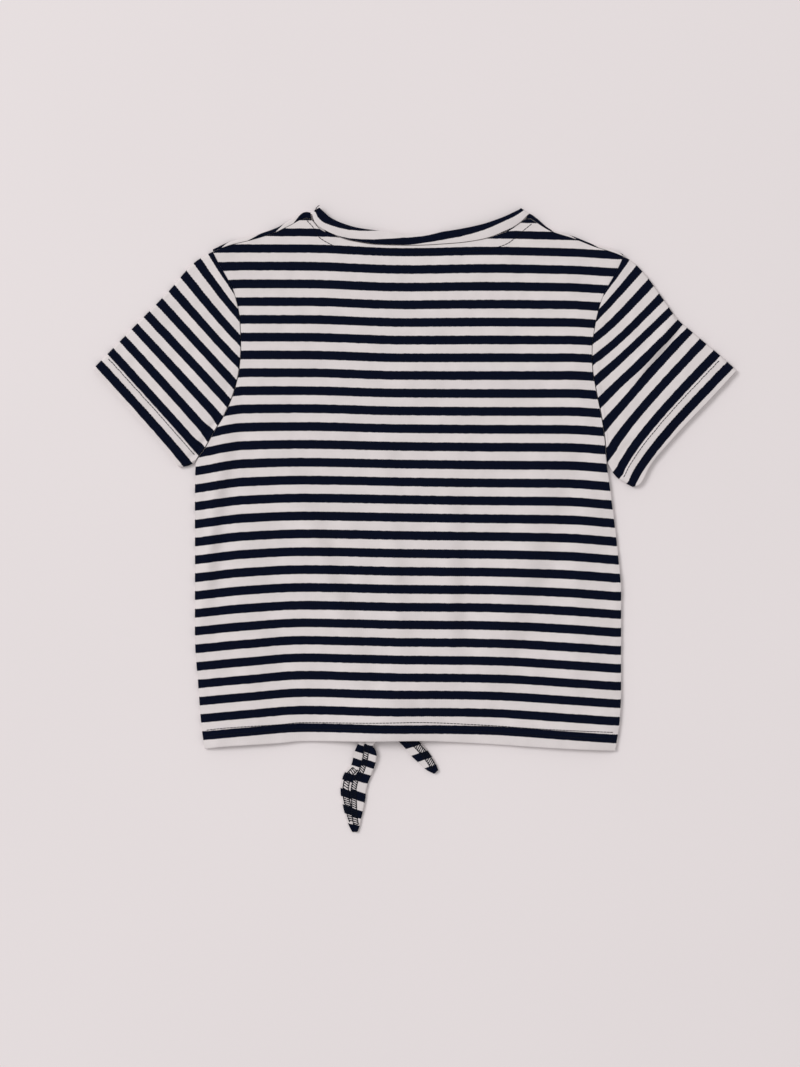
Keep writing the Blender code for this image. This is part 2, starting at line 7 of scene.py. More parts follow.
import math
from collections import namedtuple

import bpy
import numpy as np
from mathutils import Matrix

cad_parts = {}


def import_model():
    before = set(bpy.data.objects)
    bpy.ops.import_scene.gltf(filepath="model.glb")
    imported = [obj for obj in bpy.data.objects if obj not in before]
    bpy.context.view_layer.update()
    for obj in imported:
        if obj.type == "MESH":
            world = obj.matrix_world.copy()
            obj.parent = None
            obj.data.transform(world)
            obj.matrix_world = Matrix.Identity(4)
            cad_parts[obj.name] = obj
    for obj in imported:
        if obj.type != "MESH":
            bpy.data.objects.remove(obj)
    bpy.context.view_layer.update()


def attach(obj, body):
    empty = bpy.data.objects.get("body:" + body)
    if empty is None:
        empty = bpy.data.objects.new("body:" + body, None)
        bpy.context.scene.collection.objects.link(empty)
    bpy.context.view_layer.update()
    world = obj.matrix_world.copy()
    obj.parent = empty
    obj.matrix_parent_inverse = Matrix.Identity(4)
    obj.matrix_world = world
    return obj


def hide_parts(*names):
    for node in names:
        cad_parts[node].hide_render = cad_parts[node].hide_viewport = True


bl_info = {
    "name": "Knotted jersey T-shirt",
    "version": (1, 0, 0),
    "blender": (4, 5, 0),
    "location": "View3D > Sidebar > T-shirt",
    "description": "Striped cotton jersey T-shirt laid flat, with its stitching and a stage",
    "category": "Add Mesh",
}

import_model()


def table_of(kind, *rows):
    """A table of rows whose columns have the names that kind gives."""
    return tuple(kind(*row) for row in rows)


MM = 0.001
BODY = "root"

# ---- Cloth ----
CLOTH = 1.0  # wall of one layer of jersey
BAND_CLOTH = 2.0  # the neckband is folded double
SEAM = 0.4  # space between two sewn pieces
CLEARANCE = 0.6  # least space between the two panels where one lies over the other
FOLD_RADIUS = 2.0  # outer radius of a soft fold at the shoulders and along the sleeves
BAND_RADIUS = 2.5  # the same for the neckband
TIE_RADIUS = 1.2  # the same for the turned edge of a tie
SIDE_HEIGHT = 1.3  # underside of the back panel at the side seams
LOFT = 3.0  # underside of the back panel where it lies slack
SIDE_ROUND = 18.0  # the back panel rises from SIDE_HEIGHT to LOFT over this distance
SIDE_FADE_UP = 280.0  # above this height the side lies no lower than the rest
SIDE_FADE = 50.0  # below it the side comes down over this length
EDGE_LOSS = 0.85  # a rounded edge is as thin as the square root of what this leaves of 1
SHARP_ANGLE = 60.0  # faces that meet more sharply than this show an edge, in degrees

# ---- From the middle of the garment to the body's centre line and back hem ----
CENTRE_LINE = -6.5
HEM_LINE = -199.88

# ---- Edges: one row for each point where the outline turns ----
Edge = namedtuple("Edge", "across up")

LEFT_EDGE = table_of(  # hem, side seam, underarm, armhole, shoulder
    Edge, (-183, -5.9), (-186, 16), (-188.2, 45), (-191.7, 96), (-191.7, 222), (-191, 250),
    (-182, 265), (-173, 281), (-165.5, 293), (-156, 316), (-151.5, 336), (-150, 356),
    (-151, 380), (-156.5, 405), (-165.6, 423), (-171.5, 433), (-175.4, 441.1)
)
RIGHT_EDGE = table_of(
    Edge, (186.3, -7.7), (190.4, 19.8), (191.7, 50), (191.7, 132), (189, 168), (182, 226),
    (178.6, 251), (176.4, 275), (172.8, 297), (168.3, 319), (165.5, 337), (165, 351),
    (168.3, 377), (175.5, 402.3), (184.2, 418), (189.8, 428.5), (193.4, 436.6)
)
UNDERARM_LEFT = 250.0
UNDERARM_RIGHT = 251.0
UNDERARM_ROW = 13 / 24  # share of the panels' rows that lie below the underarm

BACK_HEM = table_of(
    Edge, (-183, -5.9), (-163.8, -3.6), (-116, -0.6), (-95.4, 1.1), (-50, 1.2), (0, 1.8),
    (64.8, -1), (119.7, -4.5), (186.3, -7.7)
)
BACK_NECK = table_of(  # neck seam, between the inner ends of the shoulder seams
    Edge, (-91.4, 470.7), (-86.4, 469.4), (-84, 466.2), (-79.2, 461.2), (-67.5, 456),
    (-51.3, 450.6), (-25.2, 447.1), (1.8, 446.5), (42.9, 448.5), (63.9, 451.3), (89.6, 459.3),
    (100.6, 466.4), (104.6, 469.6), (108.9, 470.2), (114.5, 467.5)
)
NECK_MARKS = (-91.4, -86.4, 108.9, 114.5)  # ends of the shoulder seams and of the neckband
STRIP_ENDS = (-86.4, 106.9)  # the front's strips over the shoulders reach the neckband here
STRIP_STEP = 0.3  # the front's edge turns from strip to neck over this distance
MARK_WIDTH = 0.01  # points closer than this to a mark belong to it
NECK_ROLL = 10.0  # at the neck the front's last rows take up this length

# The front panel comes over the shoulders: the fold, and how far below it the seam lies.
Shoulder = namedtuple("Shoulder", "across fold drop")
SHOULDERS = table_of(
    Shoulder, (-175.4, 443.1, 2.3), (-160.2, 450, 3.6), (-140.4, 455.2, 3.9),
    (-118.8, 462.2, 4.1), (-107.1, 468.6, 4.8), (-91.4, 476.8, 6.1), (-86.4, 476.2, 6.1),
    (108.9, 475.2, 4.6), (114.5, 471.9, 4.4), (126.9, 461.9, 2.1), (149.4, 454.5, 2.3),
    (169.2, 446.8, 2.1), (184.5, 443, 3.2), (193.4, 438.6, 2.3)
)

# ---- Neck ----
NECK_CENTRE = 10.8
BAND_FREE = table_of(  # free edge of the band across the back of the neck
    Edge, (-78.2, 478.9), (-69.3, 471.2), (-58.5, 466.2), (-44.1, 462.1), (-20, 459),
    (1.8, 456), (33.3, 459.2), (63.9, 464.8), (84.6, 471.6), (99.7, 478.5)
)
BAND_SEAM = table_of(  # sewn edge of the band across the back of the neck
    Edge, (-86, 474), (-84.2, 468.3), (-78.2, 462.4), (-67.5, 456.8), (-51.3, 451.3),
    (-25.2, 447.6), (1.8, 446.9), (42.9, 448.9), (63.9, 451.7), (89, 459.9), (101, 467.6),
    (107.3, 473.6)
)
FRONT_FREE_DEPTH = 75.0  # the front neck is this much lower than the shoulder
FRONT_SEAM_DEPTH = 82.0
FRONT_FREE_POWER = 2.4  # a larger power makes the front neck squarer
FRONT_SEAM_POWER = 2.8
NECK_EASE = 1.2  # the front panel's neck is wider than its band by this much at each side
NECK_TOP = 475.2  # the front neck's curve starts at this height
FRONT_BAND_RISE = 3.6  # the free edge of the front band starts this much higher
NECK_DIP = 1.4  # the back sinks into the open front neck
NECK_DIP_SPREAD = (55.0, 22.0)
NECK_DIP_UP = 452.0
BAND_WIDTH = 12.0  # from its free edge to its sewn edge
BAND_WIDTHS = (0, 0.04, 0.1, 0.2, 0.32, 0.44, 0.56, 0.68, 0.8, 0.9, 0.96, 1)  # shares of it
BAND_ROUND = 1.1  # its two edges are rounded over this distance
BAND_CROWN = 0.5  # its middle stands higher than its edges
BAND_CROWN_POWER = 0.7  # a smaller power makes it flatter in the middle
BAND_EASE = 0.35  # how far its points crowd towards its two ends, as a share
BAND_SETTLE = 0.3  # it sinks into the cloth below it
TURN_ASIDE, TURN_UP = 0.75, 0.66  # way that it turns to the front, in shares of its radius

# ---- Knot and ties ----
KNOT = Edge(-20.7, 19.0)
KNOT_TOP = 10.8
DOME = 11.4  # the front panel rises this far over the knot
DOME_SPREAD = (40.0, 34.0)
DOME_FLAT = 0.5  # below this height the front lies on the surface
BACK_OVER_DOME = 0.87  # share of the dome that the back follows
FRONT_HEM_UP = 4.0
FRONT_HEM_GATHER = 18.0  # the front hem is drawn up into the knot
FRONT_HEM_SPREAD = 30.0
HEM_GAP_POWER = 0.2  # a small power sets the front hem back evenly all the way across

# The knot is rolls of cloth, each wound round its middle from turn to turn, in radians.
Roll = namedtuple("Roll", "start_turn end_turn reach thick rise lean")
KNOT_ROLLS = table_of(
    Roll, (-0.5, 3.6, 9.5, 3.6, 3.8, 0.2), (2.4, 6.6, 9, 3.2, 6.6, 0.9),
    (0.2, 3, 4.4, 3.4, 5.4, -0.4)
)
KNOT_STRETCH = (1.12, 0.86)  # across and up
ROLL_HEAVE = 1.2  # a roll rises and sinks this much on its way round
ROLL_END = 0.72  # thickness of its ends as a share of its middle's
ROLL_FOLDS, ROLL_FOLD_DEPTH = 5, 0.09  # folds round it, and their depth as a share
ROLL_CLOTH = 9.0  # length of cloth in a radian of its way
ROLL_SLANT = 2.0  # its stripes slant round it by this much

Tie = namedtuple("Tie", "along_across along_up width lift")
LEFT_TIE = table_of(
    Tie, (-31, 5.2, 8, 3.4), (-38, -3, 15, 3), (-38.5, -12, 21, 1.8), (-42, -25, 20, 0.4),
    (-47.5, -35, 23.5, 0), (-49.2, -45, 23, 0), (-49, -55, 20, 0), (-49, -65, 15.5, 0),
    (-48.2, -74, 10.4, 0), (-47.7, -80.6, 5, 0)
)
RIGHT_TIE = table_of(
    Tie, (-8, 6.8, 9, 3.4), (1.6, -0.5, 12.5, 2.6), (8.2, -7.6, 14, 1.2), (15, -15, 12.8, 0.2),
    (20.5, -21.5, 10.4, 0), (25.3, -26.8, 5, 0)
)
LEFT_TURNED = 0.6  # share of a tie's width that its turned edge covers
RIGHT_TURNED = 0.93
TIE_STEP = 0.02  # a tie's direction is taken over this share of its length to both sides
LEAST_TURNED = 0.6  # it covers this much more than its own fold, where a tie is narrow

# ---- Sleeves: top fold and underarm edge run from the armhole to the cuff ----
LEFT_TOP_FOLD = table_of(
    Edge, (-176, 441), (-182, 438), (-192.6, 431.1), (-215.1, 405.9), (-243.9, 376.2),
    (-282.2, 336.8)
)
LEFT_CUFF = table_of(  # from the underarm to the top fold
    Edge, (-205.7, 247.1), (-212.4, 257.4), (-225.9, 274.1), (-253.8, 304.2), (-282.2, 336.8)
)
LEFT_UNDERARM = table_of(Edge, (-191.4, 252), (-198, 248.4), (-205.7, 247.1))
RIGHT_TOP_FOLD = table_of(
    Edge, (194, 436.4), (198.4, 434.6), (210.6, 423.9), (230.4, 397.4), (243, 379.8),
    (256.5, 368.1), (280.8, 347.6), (295.2, 334.6)
)
RIGHT_CUFF = table_of(
    Edge, (202, 229.5), (207.4, 231.6), (211.2, 236.6), (215.6, 245.6), (222, 255.2),
    (229.2, 263.6), (247.6, 284), (273.4, 310.8), (295.2, 334.6)
)
RIGHT_UNDERARM = table_of(Edge, (179.4, 251), (183.4, 243.4), (190, 236.2), (202, 229.5))
SLEEVE_PUFF = 1.2  # the upper layer of a sleeve stands this much higher in its middle

# ---- Creases: a ridge or, with a negative height, a trough from its foot to its head ----
Crease = namedtuple("Crease", "foot_across foot_up head_across head_up bow width height")
BACK_CREASES = table_of(  # they fan out from the knot
    Crease, (-40, 44, -132, 296, 5, 11, 3), (-23, 48, -112, 296, 5, 8, -1.3),
    (-40, 30, -100, 136, 3, 8, 1.9), (-6, 50, -26, 300, 4, 12, 2.2),
    (9, 58, -8, 296, -4, 8, -1.2), (40, 44, 42, 280, -4, 11, 2.2),
    (55, 48, 60, 270, -5, 8, -1.2), (60, 40, 134, 280, 5, 18, 3.8),
    (88, 44, 160, 290, 6, 11, -1.3), (148, 30, 166, 250, -5, 12, 2.2),
    (-134, 30, -148, 250, -4, 15, 1.6), (-188, 90, -158, 310, -2, 7, 2.4),
    (-176, 90, -146, 310, -2, 8, -1.5), (-100, 30, -158, 170, 6, 12, -0.9),
    (-138, 262, -126, 360, 3, 16, 1.2), (148, 280, 144, 430, 4, 20, 2)
)
HEM_LIFTS = table_of(  # the slack hem stands off the surface near its corners
    Crease, (-150, -14, -150, 36, 0, 34, 2), (158, -14, 158, 30, 0, 34, 2.2),
    (78, -14, 76, 34, 0, 20, -0.9), (-86, -14, -84, 34, 0, 18, -0.9)
)
RIGHT_SLEEVE_CREASES = table_of(
    Crease, (251, 382, 200, 314, -2.6, 3.6, -2.2), (243, 386, 194, 322, -2.6, 6, 3),
    (176, 262, 208, 262, 3, 6, 1.2), (184, 270, 214, 300, 2, 6, -1),
    (186, 252, 206, 274, -1, 4, -1.2)
)
LEFT_SLEEVE_CREASES = table_of(
    Crease, (-160, 318, -222, 372, 3, 10, 1.2), (-176, 276, -214, 306, 3, 7, -1),
    (-170, 290, -184, 276, 0, 3, -1.6), (-178, 276, -192, 262, 0, 3, -1.6),
    (-186, 262, -200, 254, 0, 3, -1.5), (-170, 340, -232, 300, 4, 14, 0.9)
)
# A tuck hides part of a pale stripe: the navy at both sides of it lies closer together. The
# widened navy is partly a real tuck and partly painted shade, standing in for the shadow in the
# fold and the gathers.
Tuck = namedtuple("Tuck", "across up reach stripe hidden")
RIGHT_SLEEVE_TUCKS_AND_SHADE = table_of(Tuck, (234, 364, 14, 5.5, 1.1), (214, 340, 18, 5.5, 1))
LEFT_SLEEVE_TUCKS_AND_SHADE = table_of(Tuck, (-174, 281, 7, 6.5, 0.9), (-183, 267, 7, 7.5, 0.9))
TUCK_WIDTH = 0.4  # half the width of a tuck, in stripes
CREASE_LEAN = 0.8  # below 1 a crease is highest nearer to its foot
Rough = namedtuple("Rough", "height size seed")
BACK_ROUGH = table_of(Rough, (0.16, 11, 3), (0.3, 34, 5))
SLEEVE_ROUGH = table_of(Rough, (0.14, 9, 8))
ROUGH_WAVES = 9
ROUGH_SIZES = (1.2, 2.6)  # the least and the greatest wave, in sizes

# ---- Stripes ----
REPEAT = 16.0  # one navy and one off-white stripe
BODY_REPEAT = 15.95  # the same on the body, which is stretched a little less
TOP_STRIPE_UP = 443.0  # middle of navy stripe 0, the first whole one below the shoulders
SHOULDER_REPEAT = 14.4  # above it the cloth slopes down to the shoulder seams
# How far the stripes lie above (+) their even places, for navy stripes 27 to 0.
StripeShift = namedtuple("StripeShift", "across n27 n24 n20 n14 n7 n0")
STRIPE_SHIFTS = table_of(
    StripeShift, (-190, -6.9, -8, -8, -7.5, -9, 0.8),
    (-146.7, -2.75, -3.9, -3.6, -2, 0.75, 0.8), (-92.7, 1, 0.2, -0.8, -0.2, 0.65, 0.7),
    (-2.7, 0.1, -1.9, -2.5, -1.6, -1.75, -2.4), (69.3, -1.45, -2.7, -3, -2.7, -1.85, -1.3),
    (141.3, -5.95, -6.6, -5.7, -3.3, -1.75, -2.7), (187, -9.2, -9.8, -8.9, -6.5, -4, -5.2)
)
FrontShift = namedtuple("FrontShift", "across rise")
FRONT_SHIFTS = table_of(  # the front's stripes lie higher than even ones
    FrontShift, (-175.4, 5), (-112, 5.2), (-100, 7.8), (-86, 7.4), (80, 10), (107, 20.6),
    (110, 20.2), (114.5, 16.8), (126, 9), (140, 11), (193.4, 11.5)
)

# Middle of each navy stripe on a sleeve: where it leaves the armhole and meets the top fold.
# It bows towards the cuff by the last column.
StripeLine = namedtuple("StripeLine", "arm_across arm_up fold_across fold_up bow")
LEFT_SLEEVE_STRIPES = table_of(
    StripeLine, (-160.7, 414.9, -177.3, 442.1, 0.5), (-153, 385.7, -189.5, 432.9, 0.7),
    (-151.6, 362.3, -201.9, 420.8, 1.1), (-152.3, 341.6, -212.6, 408.2, 0.8),
    (-155.7, 321.7, -223.5, 396, -0.2), (-161.2, 305.3, -234.6, 384.3, -0.3),
    (-170.1, 291.5, -245.7, 373.7, -0.3), (-181.9, 279.6, -256.7, 363, -0.5),
    (-191.5, 267.3, -267.7, 351.9, -0.3), (-201.2, 253.4, -278.7, 341.2, -0.8)
)
RIGHT_SLEEVE_STRIPES = table_of(
    StripeLine, (180.9, 413.1, 196.7, 436.5, 0.3), (171.5, 385.7, 208.1, 426.1, 0.3),
    (165.8, 362.7, 218.4, 413.2, 2.2), (166.5, 344.1, 227.9, 400, 2.3),
    (168.7, 325.4, 236.1, 387.8, 0.7), (172.2, 305.3, 243.6, 376.6, 0.2),
    (177.2, 285.3, 252.5, 369.9, -0.5), (184.1, 264.5, 265.4, 360.5, -3.1),
    (190.9, 244.3, 277.9, 350.2, -4.9), (201.7, 233.2, 290.1, 339.8, -5)
)
STRIPE_REACH = (-0.4, 1.3)  # shares of its line that a stripe is carried on to
STRIPE_LEAN = 0.65  # below 1 a stripe bows most nearer to the armhole
CUFF_HEM_STRIPE = 8.35  # the cuff's hem starts here, in stripes from the armhole
CUFF_HEM_SLOPE = 0.08  # it rises over this share of a stripe

# Edges of the navy on the neckband, in shares of its width from the free edge.
BandStripe = namedtuple("BandStripe", "across first_end second_start second_end")
BAND_STRIPES = table_of(
    BandStripe, (-78, 0.62, 1.10, 1.70), (-69, 0.50, 1.04, 1.66), (-58, 0.39, 0.95, 1.55),
    (-46.5, 0.24, 0.84, 1.40), (-35, 0.11, 0.74, 1.24), (-26, 0.00, 0.64, 1.14),
    (-15.9, -0.10, 0.52, 1.02), (0, -0.30, 0.26, 0.99), (15.7, -0.50, 0.16, 0.83),
    (33.3, -0.70, 0.00, 0.68), (55.2, -0.90, -0.10, 0.52), (71, -1.10, -0.20, 0.42),
    (86.7, -1.20, -0.30, 0.33), (94.5, -1.25, -0.35, 0.35), (101, -1.30, -0.40, 0.38)
)
BAND_REPEAT = 1.28  # one stripe repeat in shares of the band's width

# Middles of the navy bars across the ties, as heights; the left tie's turned half has its own.
LEFT_TIE_TURNED_BARS = (11.0, -5.8, -17.8, -30.0, -47.0, -63.5, -77.0, -93.0)
LEFT_TIE_PLAIN_BARS = (8.0, -7.5, -20.0, -33.5, -48.5, -62.5, -78.5, -96.0)
LEFT_TIE_SLOPE = 0.32
RIGHT_TIE_BARS = (12.0, -1.0, -12.5, -24.5, -37.0)
RIGHT_TIE_SLOPE = -0.45

# ---- Sewing ----
HEM_DEPTH = 15.5  # from the hem's edge to its stitching
HEM_ROWS = 6.0  # between the two rows of a coverstitch
HEM_STRIPE = -27.66  # the hem's edge is turned up inside this pale stripe
HEM_THICKER = 0.45  # a hem stands this much proud of the single cloth
HEM_SLOPE = 2.0  # the step down from it takes this distance
HEM_EDGE_RADIUS = 0.9
HEM_ROW_UP = 1.2  # the upper row of stitches is this far above the hem's depth
HEM_ROW_INSET = 2.0  # the rows end this far from the side seams
CUFF_ROW_DOWN = 0.03  # a cuff's upper row lies this far below its hem's start, in stripes
CUFF_ROW_SHARES = (0.03, 0.97)  # it runs between these shares, from underarm to top fold
CUFF_ROW_SEARCH = (0.3, 0.999)  # and lies between these shares of the sleeve's length
CUFF_ROW_NEAR = 0.05  # in stripes; where the search comes no closer, the row ends
ALLOWANCE = 7.0  # width of the seam allowances, which lie under the cloth beside a seam
ALLOWANCE_RAISES = 0.55
ALLOWANCE_SLOPE = 1.5  # half the distance over which it ends
SLEEVE_ALLOWANCE = (0.05, 0.08)  # it ends between these shares of a sleeve's length
# Overlocking covers a cut edge: zigzag loops between two rows, from one place to another.
Overlock = namedtuple("Overlock", "first last turned start end")
# First and last are distances from the turned edge's end, or from the plain edge.
LEFT_OVERLOCKS = table_of(
    Overlock, (0.2, 4.6, True, 0.10, 0.93), (2, 7, False, 0.38, 0.9)
)
RIGHT_OVERLOCKS = table_of(Overlock, (0.2, 5.4, True, 0.12, 0.9))
OVERLOCK_PITCH = 1.8
OVERLOCK_THREAD = 0.5
OVERLOCK_STITCH = 2.4
STITCH_GAP = 0.25
STITCH_FLAT = 0.7  # height of a thread as a share of its width
THREAD_LIFT = 0.15  # a thread's middle lies this far above the cloth
Station = namedtuple("Station", "place size")
STITCH_STATIONS = table_of(  # a stitch's thickness along its length, in shares
    Station, (0, 0.35), (0.18, 0.95), (0.82, 0.95), (1, 0.35)
)
LOOSE_THREAD = 0.38
LOOSE_STITCH = 2.0
LOOSE_END = (  # an end of thread left over at the neck, with its height
    (-84.0, 476.5, 5.4), (-82.6, 479.0, 5.6), (-81.2, 481.4, 5.3), (-79.5, 482.2, 5.0),
)
NECK_STITCH = table_of(  # on the body, round the back of the neck
    Edge, (-90.9, 468.9), (-84.2, 461.4), (-80.6, 454.5), (-72, 448.6), (-64.8, 445.3),
    (-50, 441.4), (-25, 439.6), (10, 439), (50, 440.6), (68, 442.6), (81.9, 445.3),
    (88.5, 447.6), (96.5, 453.4), (103.9, 459.9), (111.2, 465.8)
)

# ---- Fineness of the meshes ----
BACK_COLUMNS, BACK_ROWS = (46, 4, 104, 4, 46), 176  # columns between the marks of the neck
BACK_EDGE_ROWS = (0.0006, 0.0014, 0.0026)  # more rows, at these shares from both ends
FRONT_COLUMNS, FRONT_ROWS, TURN_ROWS = (40, 4, 80, 4, 40), 109, 14
SLEEVE_COLUMNS, SLEEVE_ROWS = 100, 70
SLEEVE_EDGE_ROWS = (0.003, 0.007)
FOLD_COLUMNS = 8  # round the fold of a sleeve or the neckband
BAND_COLUMNS = 130
TIE_COLUMNS = (16, 6, 12)  # on the plain half, round the turned edge and on the turned half
KNOT_RINGS, KNOT_SIDES = 40, 20
THREAD_SIDES = 6
HEM_ROW_POINTS, NECK_ROW_POINTS, CUFF_ROW_POINTS, CUFF_SEARCH_POINTS = 260, 160, 120, 160

# ---- Parts of the cloth, each from a length of its own, so that no two look the same ----
BODY_CLOTH, SLEEVE_CLOTH, NECK_CLOTH, TIE_CLOTH, KNOT_CLOTH = range(5)

# ---- Look of the cloth ----
LOOP_WIDTH, LOOP_HEIGHT = 1.8, 1.2  # real loops are about 1 mm wide; these are drawn to show
EDGE_WANDER = 0.9  # the edge of a stripe wanders by this much
EDGE_STEP = 0.35  # and steps by this share of half a loop
EDGE_SHIFT = 0.6  # both together move it by this much on average
EDGE_SOFT = 0.25  # half the width of the edge
ROW_RELIEF, LINT_RELIEF = 0.35, 0.8  # depth of the rows and the lint beside the columns

# ---- Stage, in metres ----
FLOOR_REACH, FLOOR_LEVEL = 3.0, -0.0003
ROOM_COLOUR, ROOM_LIGHT = (1.0, 0.985, 0.98, 1.0), 0.63
SOFT_BOX_PLACE, SOFT_BOX_SIZE = (-7.0, 4.0, 8.0), 5.0
VIEW_MIDDLE = (-0.0137, -0.0122)  # the camera looks straight down on this place
SENSOR_HEIGHT = 24.0  # in millimetres

# ---- Pieces that come in twos ----
Sleeve = namedtuple("Sleeve",
                    "name node armhole underarm top_fold cuff creases tucks lines side")
SLEEVES = table_of(
    Sleeve,
    ("sleeve_cloth_left", "sleeve_left", LEFT_EDGE, LEFT_UNDERARM, LEFT_TOP_FOLD, LEFT_CUFF,
     LEFT_SLEEVE_CREASES, LEFT_SLEEVE_TUCKS_AND_SHADE, LEFT_SLEEVE_STRIPES, -1),
    ("sleeve_cloth_right", "sleeve_right", RIGHT_EDGE, RIGHT_UNDERARM, RIGHT_TOP_FOLD,
     RIGHT_CUFF, RIGHT_SLEEVE_CREASES, RIGHT_SLEEVE_TUCKS_AND_SHADE, RIGHT_SLEEVE_STRIPES, 1)
)
Tail = namedtuple("Tail", "name line side turned turned_bars plain_bars slope rows seams")
TAILS = table_of(
    Tail,
    ("left", LEFT_TIE, -1, LEFT_TURNED, LEFT_TIE_TURNED_BARS, LEFT_TIE_PLAIN_BARS,
     LEFT_TIE_SLOPE, 90, LEFT_OVERLOCKS),
    ("right", RIGHT_TIE, 1, RIGHT_TURNED, RIGHT_TIE_BARS, RIGHT_TIE_BARS, RIGHT_TIE_SLOPE, 50,
     RIGHT_OVERLOCKS)
)


def mix(start, end, share):
    """The value at a share of the way from start to end."""
    return start + (end - start) * share


def smooth(places, values, at):
    """A cubic through the values that never overshoots them."""
    places, values = np.asarray(places, float), np.asarray(values, float)
    steps = np.diff(places)
    slopes = np.diff(values) / steps
    tangents = np.zeros_like(values)
    tangents[0], tangents[-1] = slopes[0], slopes[-1]
    before, after = slopes[:-1], slopes[1:]
    turning = before * after <= 0
    total = np.where(turning, 1.0, before + after)
    tangents[1:-1] = np.where(turning, 0.0, 2 * before * after / total)
    cell = np.clip(np.searchsorted(places, at) - 1, 0, len(steps) - 1)
    t = np.clip((at - places[cell]) / steps[cell], 0.0, 1.0)
    start, end, step = values[cell], values[cell + 1], steps[cell]
    rise = (2 * t**3 - 3 * t**2 + 1) * start + (3 * t**2 - 2 * t**3) * end
    return rise + step * ((t**3 - 2 * t**2 + t) * tangents[cell]
                          + (t**3 - t**2) * tangents[cell + 1])


def soft_step(low, high, value):
    """0 below low, 1 above high, smooth between them."""
    t = np.clip((value - low) / (high - low), 0.0, 1.0)
    return t * t * (3 - 2 * t)


def read(table, name, at, by="across"):
    """One column of a table at places in another, smooth between the rows."""
    return smooth([getattr(row, by) for row in table], [getattr(row, name) for row in table], at)


def up_at(table, across):
    """Height of a hem, shoulder or neck edge at a distance across."""
    return read(table, "up", across)


def across_at(table, up):
    """Place of a side edge at a height."""
    return read(table, "across", up, by="up")


def along(table, share, columns=("across", "up")):
    """Points at shares of the way along a table's rows, by the length between them."""
    points = np.array([[getattr(row, name) for name in columns] for row in table])
    lengths = np.hypot(*np.diff(points[:, :2], axis=0).T)
    places = np.concatenate(([0.0], np.cumsum(lengths))) / lengths.sum()
    return np.array([smooth(places, values, share) for values in points.T])


def crease_height(creases, across, up):
    """Sum of the ridges and troughs at points."""
    total = np.zeros_like(across)
    for crease in creases:
        run = (crease.head_across - crease.foot_across, crease.head_up - crease.foot_up)
        length = math.hypot(*run)
        aside = (across - crease.foot_across, up - crease.foot_up)
        t = np.clip((aside[0] * run[0] + aside[1] * run[1]) / length**2, 0.0, 1.0)
        off = (aside[0] * run[1] - aside[1] * run[0]) / length - 4 * crease.bow * t * (1 - t)
        strength = np.sin(np.pi * t**CREASE_LEAN)
        total += crease.height * strength * np.exp(-((off / crease.width) ** 2))
    return total


def bump(across, up, centre, spread):
    """A soft round rise of height 1."""
    return np.exp(-(((across - centre[0]) / spread[0]) ** 2)
                  - ((up - centre[1]) / spread[1]) ** 2)


def rough(table, across, up):
    """Sum of a table's unevenness."""
    return sum(row.height * ripple(across, up, row.size, row.seed) for row in table)


def ripple(across, up, size, seed):
    """Even, soft unevenness of height about 1, with bumps of about this size."""
    chance = np.random.RandomState(seed)
    total = np.zeros_like(across)
    for _ in range(ROUGH_WAVES):
        turn = chance.uniform(0, math.tau)
        pitch = math.tau / (size * chance.uniform(*ROUGH_SIZES))
        phase = chance.uniform(0, math.tau)
        total += np.sin(pitch * (across * math.cos(turn) + up * math.sin(turn)) + phase)
    return total / math.sqrt(ROUGH_WAVES)


# ---- Heights ----
def from_sides(across, up):
    """Distance to the nearer side edge of the body."""
    return np.minimum(across - across_at(LEFT_EDGE, up), across_at(RIGHT_EDGE, up) - across)


def front_height(across, up):
    """Underside of the front panel: flat on the surface, lifted over the knot."""
    return np.maximum(0.0, (DOME + DOME_FLAT) * bump(across, up, KNOT, DOME_SPREAD) - DOME_FLAT)


def back_height(across, up):
    """Underside of the back panel."""
    near_side = 1 - np.clip(from_sides(across, up) / SIDE_ROUND, 0.0, 1.0)
    below_arm = np.clip((SIDE_FADE_UP - up) / SIDE_FADE, 0.0, 1.0)
    lowered = near_side**2 * below_arm
    base = LOFT - (LOFT - SIDE_HEIGHT) * lowered
    dip = NECK_DIP * bump(across, up, (NECK_CENTRE, NECK_DIP_UP), NECK_DIP_SPREAD)
    front = front_height(across, up)
    folds = crease_height(BACK_CREASES + HEM_LIFTS, across, up)
    height = base - dip + BACK_OVER_DOME * front + folds * (1 - lowered)
    lowest = front + CLOTH + np.where(near_side > 0, SEAM, CLEARANCE)
    return np.where(up < UNDERARM_LEFT, np.maximum(height, lowest), height)


def back_top(across, up):
    """Height of the upper side of the back panel."""
    above_hem = up - up_at(BACK_HEM, across)
    hem = HEM_THICKER * (1 - soft_step(HEM_DEPTH, HEM_DEPTH + HEM_SLOPE, above_hem))
    seam = ALLOWANCE_RAISES * (1 - soft_step(ALLOWANCE - ALLOWANCE_SLOPE,
                                             ALLOWANCE + ALLOWANCE_SLOPE,
                                             from_sides(across, up)))
    sewn = np.where(up < UNDERARM_LEFT, seam, 0.0)
    return (back_height(across, up) + CLOTH + np.maximum(hem, sewn)
            + rough(BACK_ROUGH, across, up))


# ---- Stripes on the cloth ----
def neighbours(levels, cell):
    """For each point, the level in its cell and the level in the next."""
    return (np.take_along_axis(levels, cell[None] + step, 0)[0] for step in (0, 1))


def body_stripe(across, up):
    """Stripes above the middle of navy stripe 0, on the back."""
    names = StripeShift._fields[1:]
    levels = np.array([TOP_STRIPE_UP - BODY_REPEAT * int(name[1:]) for name in names])
    shifts = np.stack([read(STRIPE_SHIFTS, name, across) for name in names])
    cell = np.clip(np.searchsorted(levels, up) - 1, 0, len(levels) - 2)
    t = np.clip((up - levels[cell]) / (levels[cell + 1] - levels[cell]), 0.0, 1.0)
    beyond = up - mix(*neighbours(shifts, cell), t) - TOP_STRIPE_UP
    return beyond / np.where(beyond > 0, SHOULDER_REPEAT, BODY_REPEAT)


